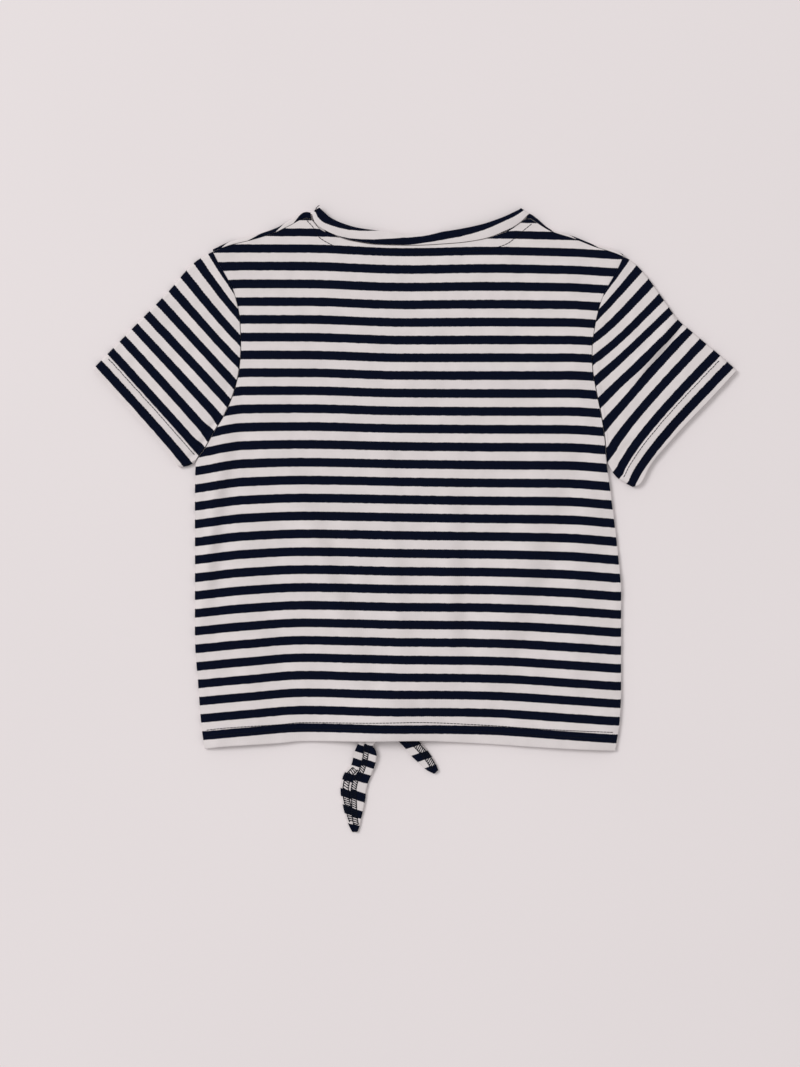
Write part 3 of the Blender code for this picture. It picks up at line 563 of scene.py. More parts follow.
def sleeve_stripe(lines, across, up):
    """Stripes from the armhole, on a sleeve."""
    arm = np.array([[line.arm_across, line.arm_up] for line in lines])
    fold = np.array([[line.fold_across, line.fold_up] for line in lines])
    run = (fold - arm).sum(axis=0)
    run /= np.hypot(*run)
    outward = np.array([run[1], -run[0]])
    if (arm[-1] - arm[0]) @ outward < 0:
        outward = -outward
    place = across * run[0] + up * run[1]
    beyond = across * outward[0] + up * outward[1]
    levels = []
    for start, end, line in zip(arm, fold, lines):
        t = (place - start @ run) / ((end - start) @ run)
        bow = line.bow * np.sin(np.pi * np.clip(t, 0, 1) ** STRIPE_LEAN)
        levels.append(mix(start @ outward, end @ outward, np.clip(t, *STRIPE_REACH)) + bow)
    levels = np.stack(levels)
    cell = np.clip((levels <= beyond).sum(axis=0) - 1, 0, len(lines) - 2)
    low, high = neighbours(levels, cell)
    return cell + (beyond - low) / (high - low)


def band_stripe(across, width_share):
    """Stripes on the neckband: navy ends a quarter to both sides of a whole number."""
    first, start, end = (read(BAND_STRIPES, name, across) for name in BandStripe._fields[1:])
    half = BAND_REPEAT / 2
    below = -0.25 + 0.5 * (width_share - first + half) / half
    white = 0.25 + 0.5 * (width_share - first) / (start - first)
    navy = 0.75 + 0.5 * (width_share - start) / (end - start)
    after = 1.25 + 0.5 * (width_share - end) / half
    return np.select([width_share < first, width_share < start, width_share < end],
                     [below, white, navy], after)


def on_cloth(across, stripe, part):
    """Places on a part of the flat cloth, in millimetres."""
    return np.stack([across, stripe * REPEAT, np.full_like(across, part)], axis=-1)


# ---- Sheets of cloth ----
def world(across, up, height):
    """Points of the tables, in metres from the middle of the garment."""
    return np.stack([(across + CENTRE_LINE) * MM, (up + HEM_LINE) * MM, height * MM], axis=-1)


def normals(points, closed):
    """Unit normals of a grid of points; closed along its columns if asked."""
    if closed:
        ring = np.concatenate([points[:, -1:], points, points[:, :1]], axis=1)
        by_column = ring[:, 2:] - ring[:, :-2]
    else:
        by_column = np.gradient(points, axis=1)
    normal = np.cross(by_column, np.gradient(points, axis=0))
    return normal / np.maximum(np.linalg.norm(normal, axis=-1, keepdims=True), 1e-12)


def collection():
    """The collection that holds the dressed garment."""
    name = "dressed_tshirt"
    found = bpy.data.collections.get(name)
    if found is None:
        found = bpy.data.collections.new(name)
        bpy.context.scene.collection.children.link(found)
    return found


def add_piece(name, verts, faces, finish, cloth=None, sharp_edges=False):
    """A mesh piece; cloth gives each point's place on the flat cloth."""
    mesh = bpy.data.meshes.new(name)
    mesh.from_pydata(verts.tolist(), [], faces)
    if cloth is not None:
        layer = mesh.attributes.new("cloth", "FLOAT_VECTOR", "POINT")
        layer.data.foreach_set("vector", cloth.astype(np.float32).ravel())
    mesh.shade_smooth()
    if sharp_edges:
        mesh.set_sharp_from_angle(angle=math.radians(SHARP_ANGLE))
    mesh.materials.append(finish)
    piece = bpy.data.objects.new(name, mesh)
    collection().objects.link(piece)
    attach(piece, BODY)
    return piece


def grid_faces(rows, columns, closed, start=0, flip=False):
    """Faces of a grid of points."""
    cells = columns if closed else columns - 1
    row, cell = np.meshgrid(np.arange(rows - 1), np.arange(cells), indexing="ij")
    after = (cell + 1) % columns
    quads = np.stack([row * columns + cell, row * columns + after,
                      (row + 1) * columns + after, (row + 1) * columns + cell], axis=-1)
    quads = quads.reshape(-1, 4) + start
    return quads[:, ::-1] if flip else quads


def tube_faces(rings, sides, start):
    """Faces of a tube of rings of points, closed by a cap at each end."""
    ring = np.arange(start, start + sides)
    return [*grid_faces(rings, sides, True, start).tolist(), ring[::-1].tolist(),
            (ring + (rings - 1) * sides).tolist()]


def add_sheet(name, outer, thickness, inward, cloth, finish, closed=False):
    """A closed shell of cloth: outer is one side, inward is +1 or -1 along the grid's normal."""
    rows, columns = outer.shape[:2]
    thickness = np.broadcast_to(thickness, (rows, columns))[..., None] * MM
    sides = np.stack([outer, outer + normals(outer, closed) * inward * thickness])
    sides[..., 2] = np.maximum(sides[..., 2], 0.0)
    ids = np.arange(rows * columns).reshape(rows, columns)
    faces = [grid_faces(rows, columns, closed, 0, flip=inward > 0),
             grid_faces(rows, columns, closed, ids.size, flip=inward < 0)]
    if closed:
        rims = [(ids[0], inward > 0), (ids[-1], inward < 0)]
    else:
        loop = np.concatenate([ids[0, :-1], ids[:-1, -1], ids[-1, :0:-1], ids[:0:-1, 0]])
        rims = [(loop, inward > 0)]
    for loop, turned in rims:
        after = np.roll(loop, -1)
        rim = np.stack([loop, loop + ids.size, after + ids.size, after], axis=-1)
        faces.append(rim[:, ::-1] if turned else rim)
    return add_piece(name, sides.reshape(-1, 3), np.concatenate(faces).tolist(), finish,
                     np.stack([cloth, cloth]), sharp_edges=True)


def patch(bottom, top, left, right, share, rise):
    """Points inside four edges that share their corners."""
    zero, one = np.zeros_like(share), np.ones_like(share)
    straight = mix(mix(left(zero), right(zero), share), mix(left(one), right(one), share), rise)
    return mix(bottom(share), top(share), rise) + mix(left(rise), right(rise), share) - straight


def close_to_ends(count, near):
    """Even shares from 0 to 1, with more points close to both ends."""
    even = np.linspace(0.0, 1.0, count + 1)
    return np.concatenate([[0.0], near, even[1:-1], 1 - np.array(near[::-1]), [1.0]])


def rounded(distance, radius):
    """Share of a cloth's thickness near its edge, which is rounded off."""
    t = np.clip(1 - distance / radius, 0.0, 1.0)
    return np.sqrt(1 - EDGE_LOSS * t * t)


# ---- Body: back and front panel ----
def top_across(share):
    """Place across of a share of the way along the panels' top edge."""
    return mix(SHOULDERS[0].across + SEAM / 2, SHOULDERS[-1].across - SEAM / 2, share)


def panel_places(hem_up, top_up, share, rise):
    """Places in a panel, from functions that give the heights of its hem and top edge."""
    def side(table, underarm, inset):
        def edge(r):
            up = np.interp(r, [0.0, UNDERARM_ROW, 1.0], [table[0].up, underarm, table[-1].up])
            return np.array([across_at(table, up) + inset, up])
        return edge

    def bottom(s):
        across = mix(LEFT_EDGE[0].across + SEAM / 2, RIGHT_EDGE[0].across - SEAM / 2, s)
        return np.array([across, hem_up(across, s)])

    def top(s):
        return np.array([top_across(s), top_up(top_across(s))])

    return patch(bottom, top, side(LEFT_EDGE, UNDERARM_LEFT, SEAM / 2),
                 side(RIGHT_EDGE, UNDERARM_RIGHT, -SEAM / 2), share, rise)


def panel_shares(counts):
    """Places of a panel's columns along its top edge, which has points at the neck's ends."""
    left, right = SHOULDERS[0].across, SHOULDERS[-1].across
    marks = [0.0, *[(mark - left) / (right - left) for mark in NECK_MARKS], 1.0]
    shares = [0.0]
    for start, end, count in zip(marks, marks[1:], counts):
        shares += [mix(start, end, (i + 1) / count) for i in range(count)]
    return np.array(shares)


def back_end(across):
    """Height of the back's upper edge: shoulder seams and neck seam."""
    seam = read(SHOULDERS, "fold", across) - read(SHOULDERS, "drop", across)
    in_neck = (across > NECK_MARKS[0]) & (across < NECK_MARKS[3])
    return np.where(in_neck, up_at(BACK_NECK, across), seam) - SEAM / 2


def make_back(cloth):
    """The back panel with its hem."""
    share, rise = np.meshgrid(panel_shares(BACK_COLUMNS),
                              close_to_ends(BACK_ROWS, BACK_EDGE_ROWS))
    across, up = panel_places(lambda across, s: up_at(BACK_HEM, across), back_end, share, rise)
    under, top = back_height(across, up), back_top(across, up)
    stripe = np.maximum(body_stripe(across, up), HEM_STRIPE)
    edge = rounded(up - up_at(BACK_HEM, across), HEM_EDGE_RADIUS)
    middle = (under + top) / 2
    piece = add_sheet("back_cloth", world(across, up, middle + (top - middle) * edge),
                      (top - under) * edge, -1, on_cloth(across, stripe, BODY_CLOTH), cloth)
    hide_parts("back_panel")
    return piece


def front_neck(across, depth, power, half_width):
    """Height of the front neck's curve, which is deepest at the centre."""
    from_centre = np.abs(across - NECK_CENTRE) / half_width
    return NECK_TOP - depth * (1 - np.minimum(from_centre, 1.0) ** power)


def front_hem(across, share):
    """Height of the front hem, drawn up into the knot."""
    back = up_at(BACK_HEM, across)
    gather = FRONT_HEM_GATHER * np.exp(-(((across - KNOT.across) / FRONT_HEM_SPREAD) ** 2))
    even = np.sin(np.pi * np.clip(share, 0, 1)) ** HEM_GAP_POWER
    return back + (FRONT_HEM_UP + gather) * even


def roll_span(across):
    """Where the front starts to turn over the shoulder or ends at the neck, and its end."""
    fold_start = read(SHOULDERS, "fold", across) - FOLD_RADIUS
    reach = (fold_start + math.pi * FOLD_RADIUS + read(SHOULDERS, "drop", across)
             - FOLD_RADIUS - SEAM)
    in_neck = (across > STRIP_ENDS[0] + MARK_WIDTH) & (across < STRIP_ENDS[1] - MARK_WIDTH)
    half = (NECK_MARKS[2] - NECK_MARKS[1]) / 2 + NECK_EASE
    neck = front_neck(across, FRONT_SEAM_DEPTH, FRONT_SEAM_POWER, half) - SEAM
    return np.where(in_neck, neck - NECK_ROLL, fold_start), np.where(in_neck, neck, reach)


def make_front(cloth):
    """The front panel, which comes over the shoulders as a narrow strip."""
    left, right = top_across(0.0), top_across(1.0)
    beside = np.array([STRIP_ENDS[0] + STRIP_STEP, STRIP_ENDS[1] - STRIP_STEP, STRIP_ENDS[1]])
    shares = np.sort(np.append(panel_shares(FRONT_COLUMNS),
                               (beside - left) / (right - left)))
    share, rise = np.meshgrid(shares, np.linspace(0.0, 1.0, FRONT_ROWS + 1))
    across, up = panel_places(front_hem, lambda across: roll_span(across)[0], share, rise)
    turn_across, turn = np.meshgrid(top_across(shares),
                                    np.linspace(0.0, 1.0, TURN_ROWS + 1)[1:])
    fold_start = read(SHOULDERS, "fold", turn_across) - FOLD_RADIUS
    unrolled = mix(*roll_span(turn_across), turn)
    past = unrolled - fold_start
    angle = np.clip(past / FOLD_RADIUS, 0.0, math.pi)
    beyond = np.maximum(past - math.pi * FOLD_RADIUS, 0.0)
    turn_up = np.minimum(unrolled, fold_start) + FOLD_RADIUS * np.sin(angle) - beyond
    height = np.concatenate([front_height(across, up), FOLD_RADIUS * (1 - np.cos(angle))])
    across = np.concatenate([across, turn_across])
    lifted = np.concatenate([up, unrolled]) - read(FRONT_SHIFTS, "rise", across)
    up = np.concatenate([up, turn_up])
    places = on_cloth(across, (lifted - TOP_STRIPE_UP) / BODY_REPEAT, BODY_CLOTH)
    piece = add_sheet("front_cloth", world(across, up, height), CLOTH, 1, places, cloth)
    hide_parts("front_panel")
    return piece


# ---- Sleeves ----
def sleeve_surface(sleeve, share, length_share):
    """Places of a sleeve: share runs from the underarm to the top fold."""
    arm, shoulder = sleeve.underarm[0], sleeve.armhole[-1]
    outward = sleeve.side * SEAM / 2

    def armhole_edge(s):
        up = mix(arm.up, sleeve.top_fold[0].up, s)
        across = across_at(sleeve.armhole, np.minimum(up, shoulder.up)) + outward
        start = arm.across - across_at(sleeve.armhole, arm.up) - outward
        return np.array([across + (1 - s) * start, up])

    return patch(armhole_edge, lambda s: along(sleeve.cuff, s),
                 lambda s: along(sleeve.underarm, s), lambda s: along(sleeve.top_fold, s),
                 share, length_share)


def tucked_and_shaded(stripe, tucks, across, up):
    """Stripes with a share hidden at each tuck; the wider navy beside it is partly painted shade
    in the fold.
    """
    shown = stripe.copy()
    for tuck in tucks:
        near = bump(across, up, (tuck.across, tuck.up), (tuck.reach, tuck.reach))
        off = stripe - tuck.stripe
        # The navy closes over the pale stripe: partly a hidden tuck, partly painted shade in the
        # fold.
        shown += tuck.hidden * near * off * np.exp(-(off / TUCK_WIDTH) ** 2)
    return shown


def sleeve_top(sleeve, share, length_share, across, up):
    """Height of the upper layer of a sleeve."""
    puff = SLEEVE_PUFF * np.sin(np.pi * share) * np.sqrt(np.sin(np.pi * length_share))
    height = 2 * FOLD_RADIUS + puff + crease_height(sleeve.creases, across, up)
    stripe = sleeve_stripe(sleeve.lines, across, up)
    hem = soft_step(CUFF_HEM_STRIPE - CUFF_HEM_SLOPE, CUFF_HEM_STRIPE, stripe)
    sewn = ALLOWANCE_RAISES * (1 - soft_step(*SLEEVE_ALLOWANCE, length_share))
    height = np.maximum(height, 2 * CLOTH + CLEARANCE)
    return height + HEM_THICKER * hem + sewn + rough(SLEEVE_ROUGH, across, up)


def make_sleeve(sleeve, cloth):
    """A flattened tube, open at the armhole and at the cuff."""
    lengths = close_to_ends(SLEEVE_ROWS, SLEEVE_EDGE_ROWS)
    turns = np.pi * np.arange(1, FOLD_COLUMNS) / FOLD_COLUMNS
    cuff_width = math.dist(sleeve.cuff[0], sleeve.cuff[-1])
    armhole_width = sleeve.armhole[-1].up - sleeve.underarm[0].up
    ends = FOLD_RADIUS / mix(armhole_width, cuff_width, lengths)[:, None]
    straight = ends + (1 - 2 * ends) * np.linspace(0.0, 1.0, SLEEVE_COLUMNS + 1)
    share = np.concatenate([straight[:, ::-1], ends * (1 - np.sin(turns)), straight,
                            1 - ends * (1 - np.sin(turns))], axis=1)
    length_share = np.broadcast_to(lengths[:, None], share.shape).astype(float)
    across, up = sleeve_surface(sleeve, share, length_share)
    height = sleeve_top(sleeve, share, length_share, across, up)
    upper_end, lower = SLEEVE_COLUMNS + 1, SLEEVE_COLUMNS + FOLD_COLUMNS
    height[:, upper_end:lower] = FOLD_RADIUS * (1 + np.cos(turns))
    height[:, lower:lower + upper_end] = 0.0
    height[:, lower + upper_end:] = FOLD_RADIUS * (1 - np.cos(turns))
    # Tucks hide a share of a stripe; their widened navy is partly painted shade.
    stripe = tucked_and_shaded(sleeve_stripe(sleeve.lines, across, up), sleeve.tucks, across, up)
    piece = add_sheet(sleeve.name, world(across, up, height), CLOTH, -sleeve.side,
                      on_cloth(share * cuff_width, stripe, SLEEVE_CLOTH), cloth, closed=True)
    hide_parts(sleeve.node)
    return piece


# ---- Neckband ----
def make_neckband(cloth):
    """A closed ring: its back part on top, its front part on the surface."""
    back = np.linspace(0.0, 1.0, BAND_COLUMNS + 1)
    turns = np.arange(1, FOLD_COLUMNS) / FOLD_COLUMNS
    share = np.concatenate([back, np.ones_like(turns), back[::-1], np.zeros_like(turns)])
    angle = np.pi * np.concatenate([0 * back, turns, 0 * back, 1 - turns])
    on_front = np.concatenate([0 * back, 0 * turns, 0 * back + 1, 0 * turns]) > 0
    share, width = np.meshgrid(share, BAND_WIDTHS)
    eased = mix(share, (1 - np.cos(np.pi * share)) / 2, BAND_EASE)
    free = mix(BAND_FREE[0].across, BAND_FREE[-1].across, eased)
    seam = mix(BAND_SEAM[0].across, BAND_SEAM[-1].across, eased)
    across = mix(free, seam, width)
    back_up = mix(up_at(BAND_FREE, free), up_at(BAND_SEAM, seam), width)
    half = (NECK_MARKS[2] - NECK_MARKS[1]) / 2
    free_half = (BAND_FREE[-1].across - BAND_FREE[0].across) / 2
    free_up = front_neck(free, FRONT_FREE_DEPTH, FRONT_FREE_POWER, free_half) + FRONT_BAND_RISE
    seam_up = front_neck(seam, FRONT_SEAM_DEPTH, FRONT_SEAM_POWER, half) + SEAM
    front_up = mix(free_up, np.minimum(seam_up, BAND_SEAM[0].up), width)
    sag = back_height(across, np.minimum(back_up, BACK_NECK[0].up)) - LOFT
    crown = BAND_CROWN * np.sin(np.pi * width) ** BAND_CROWN_POWER
    bend = BAND_RADIUS * np.sin(angle)
    turning = (angle > 0) & (angle < math.pi)
    across = np.where(turning, across + np.where(share > 0.5, 1, -1) * TURN_ASIDE * bend, across)
    up = np.select([on_front, turning], [front_up, back_up + TURN_UP * bend], back_up)
    height = np.select([on_front, turning], [0.0 * sag, BAND_RADIUS * (1 + np.cos(angle))],
                       2 * BAND_RADIUS + sag + crown - BAND_SETTLE)
    thickness = BAND_CLOTH * rounded(np.minimum(width, 1 - width) * BAND_WIDTH, BAND_ROUND)
    places = on_cloth(across, band_stripe(across, width), NECK_CLOTH)
    piece = add_sheet("neckband_cloth", world(across, up, height), thickness, 1, places, cloth,
                      closed=True)
    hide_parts("neckband")
    return piece


# ---- Ties and knot ----
def tie_line(table, share):
    """The middle line of a tie with its width and lift, and its direction there."""
    def at(place):
        return along(table, np.clip(place, 0.0, 1.0), Tie._fields)

    run = (at(share + TIE_STEP) - at(share - TIE_STEP))[:2]
    return at(share), run / np.hypot(*run)


def turned_reach(half, turned):
    """How far a tie's turned edge reaches across it, from its middle line."""
    return -half + np.maximum(2 * half * turned, TIE_RADIUS + LEAST_TURNED)


def make_tie(tail, cloth):
    """A tail of the front: one edge is turned in and overlocked."""
    plain_columns, turn_columns, turned_columns = TIE_COLUMNS
    line = tie_line(tail.line, np.linspace(0.0, 1.0, tail.rows))
    middle, run = (part[..., None] for part in line)
    half = middle[2] / 2
    plain = mix(half, -half + TIE_RADIUS, np.linspace(0.0, 1.0, plain_columns))
    turns = np.pi * np.arange(1, turn_columns + 1) / (turn_columns + 1)
    turned = -half + TIE_RADIUS * (1 - np.sin(turns))
    over = mix(-half + TIE_RADIUS, turned_reach(half, tail.turned),
               np.linspace(0.0, 1.0, turned_columns))
    aside = np.concatenate([plain, turned, over], axis=1) * tail.side
    height = np.concatenate([0 * plain, TIE_RADIUS * (1 - np.cos(turns)) + 0 * turned,
                             2 * TIE_RADIUS + 0 * over], axis=1)
    across, up = middle[0] - run[1] * aside, middle[1] + run[0] * aside
    level = up + tail.slope * (across - middle[0])
    plain_stripe, turned_stripe = (np.interp(-level, np.negative(bars), range(len(bars)))
                                   for bars in (tail.plain_bars, tail.turned_bars))
    on_turned = np.arange(aside.shape[1]) >= plain_columns + turn_columns // 2
    places = on_cloth(across, np.where(on_turned, turned_stripe, plain_stripe), TIE_CLOTH)
    piece = add_sheet("tie_cloth_" + tail.name, world(across, up, middle[3] + height), CLOTH,
                      tail.side, places, cloth)
    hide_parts("tie_" + tail.name)
    return piece


def overlock_paths(tail):
    """Zigzag loops and their two rows, laid along a tie."""
    paths = []
    for seam in tail.seams:
        length = math.dist(tail.line[0][:2], tail.line[-1][:2]) * (seam.end - seam.start)
        share = np.linspace(seam.start, seam.end, int(length / OVERLOCK_PITCH))
        middle, run = tie_line(tail.line, share)
        half = middle[2] / 2
        edge = turned_reach(half, tail.turned) if seam.turned else half
        level = middle[3] + (2 * TIE_RADIUS if seam.turned else CLOTH) + THREAD_LIFT
        first, last = (np.stack([middle[0] - run[1] * (edge - depth) * tail.side,
                                 middle[1] + run[0] * (edge - depth) * tail.side, level], axis=1)
                       for depth in (seam.first, seam.last))
        paths += [first, last, *(np.array(loop) for loop in zip(first, last[1:]))]
    return paths


def make_knot(cloth):
    """The crossed tails: rolls of cloth drawn round each other, under the hem."""
    t = np.linspace(0.0, 1.0, KNOT_RINGS)[:, None]
    ring = np.linspace(0.0, math.tau, KNOT_SIDES, endpoint=False)[None, :]
    verts, faces, places = [], [], []
    for order, roll in enumerate(KNOT_ROLLS):
        turn = mix(roll.start_turn, roll.end_turn, t)
        thick = (roll.thick * mix(ROLL_END, 1, np.sin(np.pi * t))
                 * (1 + ROLL_FOLD_DEPTH * np.cos(ROLL_FOLDS * ring)))
        out = roll.reach + thick * np.cos(ring)
        height = roll.rise + ROLL_HEAVE * np.sin(turn + roll.lean) + thick * np.sin(ring)
        verts.append(world(KNOT.across + KNOT_STRETCH[0] * out * np.cos(turn),
                           KNOT.up + KNOT_STRETCH[1] * out * np.sin(turn),
                           np.clip(height, 0.0, KNOT_TOP)))
        level = turn * ROLL_CLOTH + ROLL_SLANT * np.cos(ring)
        places.append(on_cloth(ring * thick, level / REPEAT, KNOT_CLOTH))
        faces += tube_faces(KNOT_RINGS, KNOT_SIDES, order * KNOT_RINGS * KNOT_SIDES)
    piece = add_piece("knot_cloth", np.reshape(verts, (-1, 3)), faces, cloth, np.array(places))
    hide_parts("knot")
    return piece


# ---- Stitches ----
def add_stitches(name, paths, finish, length, gap, thick):
    """Short threads laid end to end along paths of (across, up, height)."""
    turn = math.tau * np.arange(THREAD_SIDES)[:, None] / THREAD_SIDES
    verts = []
    for path in paths:
        path = np.asarray(path, float)
        places = np.append(0.0, np.cumsum(np.linalg.norm(np.diff(path, axis=0), axis=1)))
        at = np.linspace(0.0, places[-1], max(2, int(places[-1] / (length + gap))) + 1)
        points = np.stack([np.interp(at, places, values) for values in path.T], axis=1)
        for start, end in zip(points, points[1:]):
            reach = np.linalg.norm(end - start)
            run = (end - start) / reach
            aside = np.array([-run[1], run[0], 0.0]) / np.hypot(run[0], run[1])
            ring = np.cos(turn) * aside + STITCH_FLAT * np.sin(turn) * np.cross(run, aside)
            verts += [start + run * (reach - gap) * station.place + thick * station.size * ring
                      for station in STITCH_STATIONS]
    rings = len(STITCH_STATIONS)
    faces = [face for start in range(0, len(verts), rings)
             for face in tube_faces(rings, THREAD_SIDES, start * THREAD_SIDES)]
    return add_piece(name, world(*np.reshape(verts, (-1, 3)).T), faces, finish)


def on_back(across, up):
    """A path laid on the back panel."""
    return np.stack([across, up, back_top(across, up) + THREAD_LIFT], axis=1)


def sleeve_row(sleeve, stripe):
    """A path on a sleeve's upper layer that keeps to one place in its stripes."""
    share, rise = np.meshgrid(np.linspace(*CUFF_ROW_SHARES, CUFF_ROW_POINTS),
                              np.linspace(*CUFF_ROW_SEARCH, CUFF_SEARCH_POINTS))
    across, up = sleeve_surface(sleeve, share, rise)
    level = sleeve_stripe(sleeve.lines, across, up)
    height = sleeve_top(sleeve, share, rise, across, up) + THREAD_LIFT
    picked = np.abs(level - stripe).argmin(axis=0), np.arange(share.shape[1])
    path = np.stack([across[picked], up[picked], height[picked]], axis=1)
    return path[np.abs(level[picked] - stripe) < CUFF_ROW_NEAR]


def make_stitching(finish, length, thick):
    """Rows of stitching at the hem, the cuffs and the neck, and the ties' overlocking."""
    across = np.linspace(LEFT_EDGE[0].across + HEM_ROW_INSET,
                         RIGHT_EDGE[0].across - HEM_ROW_INSET, HEM_ROW_POINTS)
    rows = [on_back(across, up_at(BACK_HEM, across) + HEM_DEPTH + HEM_ROW_UP - row)
            for row in (0.0, HEM_ROWS)]
    neck = on_back(*along(NECK_STITCH, np.linspace(0.0, 1.0, NECK_ROW_POINTS)))
    add_stitches("hem_stitches", rows, finish, length, STITCH_GAP, thick)
    add_stitches("neck_stitches", [neck], finish, length, STITCH_GAP, thick)
    add_stitches("neck_thread_tail", [LOOSE_END], finish, LOOSE_STITCH, 0.0, LOOSE_THREAD)
    for tail in TAILS:
        add_stitches("overlock_" + tail.name, overlock_paths(tail), finish, OVERLOCK_STITCH,
                     0.0, OVERLOCK_THREAD)
    for sleeve in SLEEVES:
        rows = [sleeve_row(sleeve, CUFF_HEM_STRIPE + CUFF_ROW_DOWN + row / REPEAT)
                for row in (0.0, HEM_ROWS)]
        add_stitches(sleeve.name.replace("cloth", "stitches"), rows, finish, length,
                     STITCH_GAP, thick)


# ---- Colours and finishes ----
def linear(hex_colour):
    """A linear colour from an sRGB hex value such as "dad3d3"."""
    parts = [int(hex_colour[i:i + 2], 16) / 255 for i in (0, 2, 4)]
    return tuple(p / 12.92 if p <= 0.04045 else ((p + 0.055) / 1.055) ** 2.4 for p in parts)


def node(tree, kind, settings=None, **links):
    """Add a node; links are its sockets' values, or the nodes and sockets that feed them."""
    made = tree.nodes.new("ShaderNode" + kind)
    for name, value in (settings or {}).items():
        setattr(made, name, value)
    for name, value in links.items():
        socket = made.inputs[int(name[1:]) if name[1:].isdigit() else name.replace("_", " ")]
        if isinstance(value, bpy.types.Node):
            value = value.outputs[0]
        if isinstance(value, bpy.types.NodeSocket):
            tree.links.new(value, socket)
        else:
            socket.default_value = value
    return made


def maths(tree, operation, *values):
    """The result of a sum, a product or the like."""
    return node(tree, "Math", {"operation": operation},
                **{f"_{i}": value for i, value in enumerate(values)})


def noise(tree, place, scale, detail, roughness=0.5):
    """A noise that varies softly from place to place, round about 0.5."""
    return node(tree, "TexNoise", {"noise_dimensions": "3D"}, Vector=place, Scale=scale,
                Detail=detail, Roughness=roughness)


def spread(tree, value, low, high, least, most):
    """A value between low and high, spread from least to most."""
    return node(tree, "MapRange", _0=value, _1=low, _2=high, _3=least, _4=most)


def shaded(tree, colour, shade):
    """A colour made darker or lighter by a shade."""
    return node(tree, "Mix", {"data_type": "RGBA", "blend_type": "MULTIPLY"}, _0=1.0,
                _6=(*colour, 1.0), _7=shade).outputs[2]


def new_material(name):
    """An empty material and its nodes."""
    made = bpy.data.materials.new(name)
    made.use_nodes = True
    made.node_tree.nodes.clear()
    return made, made.node_tree


def end_material(tree, **links):
    """Add a material's shader, with its values and links, and its output."""
    node(tree, "OutputMaterial", Surface=node(tree, "BsdfPrincipled", **links))


def striped_jersey(name, navy, off_white):
    """Cotton single jersey, knitted from yarn dyed navy and off-white, soft from washing.

    Short fibres stand off its surface, so it is dull with a weak sheen. Its knit is fine
    columns of loops, and the edge of each stripe steps from loop to loop.
    """
    made, tree = new_material(name)
    place = node(tree, "Attribute", {"attribute_name": "cloth"}).outputs["Vector"]
    part = node(tree, "SeparateXYZ", Vector=place)
    across, level = part.outputs[0], part.outputs[1]
    loop_columns = maths(tree, "PINGPONG", across, LOOP_WIDTH / 2)
    # A noise of scale 1 has bumps of about 1 mm: the edge wanders over about 5 mm.
    wander = maths(tree, "MULTIPLY_ADD", noise(tree, place, 0.22, 3.0), EDGE_WANDER, level)
    stepped = maths(tree, "MULTIPLY_ADD", loop_columns, EDGE_STEP, wander)
    from_navy = maths(tree, "PINGPONG", maths(tree, "SUBTRACT", stepped, EDGE_SHIFT),
                      REPEAT / 2)
    is_white = node(tree, "MapRange", {"interpolation_type": "SMOOTHSTEP"}, _0=from_navy,
                    _1=REPEAT / 4 - EDGE_SOFT, _2=REPEAT / 4 + EDGE_SOFT)
    # Yarn varies a little in colour over about 2 cm, and lint of 1 to 2 mm lightens the navy.
    lint = noise(tree, place, 0.7, 4.0, 0.7)
    shade = spread(tree, noise(tree, place, 0.05, 4.0), 0.3, 0.7, 0.94, 1.03)
    flecks = spread(tree, lint, 0.35, 0.75, 0.75, 1.7)
    fine = spread(tree, lint, 0.3, 0.7, 0.965, 1.02)
    white_yarn = shaded(tree, off_white, maths(tree, "MULTIPLY", shade, fine))
    cloth = node(tree, "Mix", {"data_type": "RGBA"}, _0=is_white,
                 _6=shaded(tree, navy, flecks), _7=white_yarn)
    # Relief: columns of loops, rows of loops and loose fibres.
    loop_rows = maths(tree, "PINGPONG", level, LOOP_HEIGHT / 2)
    loops = maths(tree, "MULTIPLY_ADD", loop_rows, ROW_RELIEF, loop_columns)
    raised = node(tree, "Bump", Strength=0.35, Distance=0.00018,
                  Height=maths(tree, "MULTIPLY_ADD", lint, LINT_RELIEF, loops))
    end_material(tree, Base_Color=cloth.outputs[2], Normal=raised, Roughness=0.92,
                 Specular_IOR_Level=0.08, Sheen_Weight=0.02, Sheen_Roughness=0.5)
    return made


def thread(name, colour):
    """Spun polyester sewing thread: a tight twist with a soft shine."""
    made, tree = new_material(name)
    # The twist has a pitch of about 0.4 mm.
    twist = noise(tree, node(tree, "NewGeometry"), 1200.0, 2.0)
    raised = node(tree, "Bump", Strength=0.3, Distance=0.0001, Height=twist)
    tone = spread(tree, twist, 0.3, 0.7, 0.75, 1.2)
    end_material(tree, Base_Color=shaded(tree, colour, tone), Normal=raised, Roughness=0.8,
                 Specular_IOR_Level=0.1)
    return made


def painted_board(name, colour):
    """Matt white paint on a smooth board."""
    made, tree = new_material(name)
    mottle = noise(tree, node(tree, "NewGeometry"), 2.0, 2.0)
    tone = spread(tree, mottle, 0.3, 0.7, 0.99, 1.01)
    end_material(tree, Base_Color=shaded(tree, colour, tone), Roughness=0.95,
                 Specular_IOR_Level=0.1)
    return made


# ---- Settings ----
def colour_setting(name, description, hex_colour):
    """A colour that the user can change."""
    return bpy.props.FloatVectorProperty(name=name, description=description, subtype="COLOR",
                                         default=linear(hex_colour), min=0.0, max=1.0)


def length_setting(name, description, default, low, high):
    """A length in metres that the user can change."""
    return bpy.props.FloatProperty(name=name, description=description, subtype="DISTANCE",
                                   default=default, min=low, max=high)


class ShirtColours(bpy.types.PropertyGroup):
    """Colours of the yarn, the thread and the floor."""
    navy: colour_setting("Navy yarn", "Colour of the dark stripes", "03081a")
    off_white: colour_setting("Off-white yarn", "Colour of the pale stripes", "dad3d3")
    thread: colour_setting("Thread", "Colour of the sewing thread", "0a0e1a")
    floor: colour_setting("Floor", "Colour of the surface below the shirt", "e6dfe0")


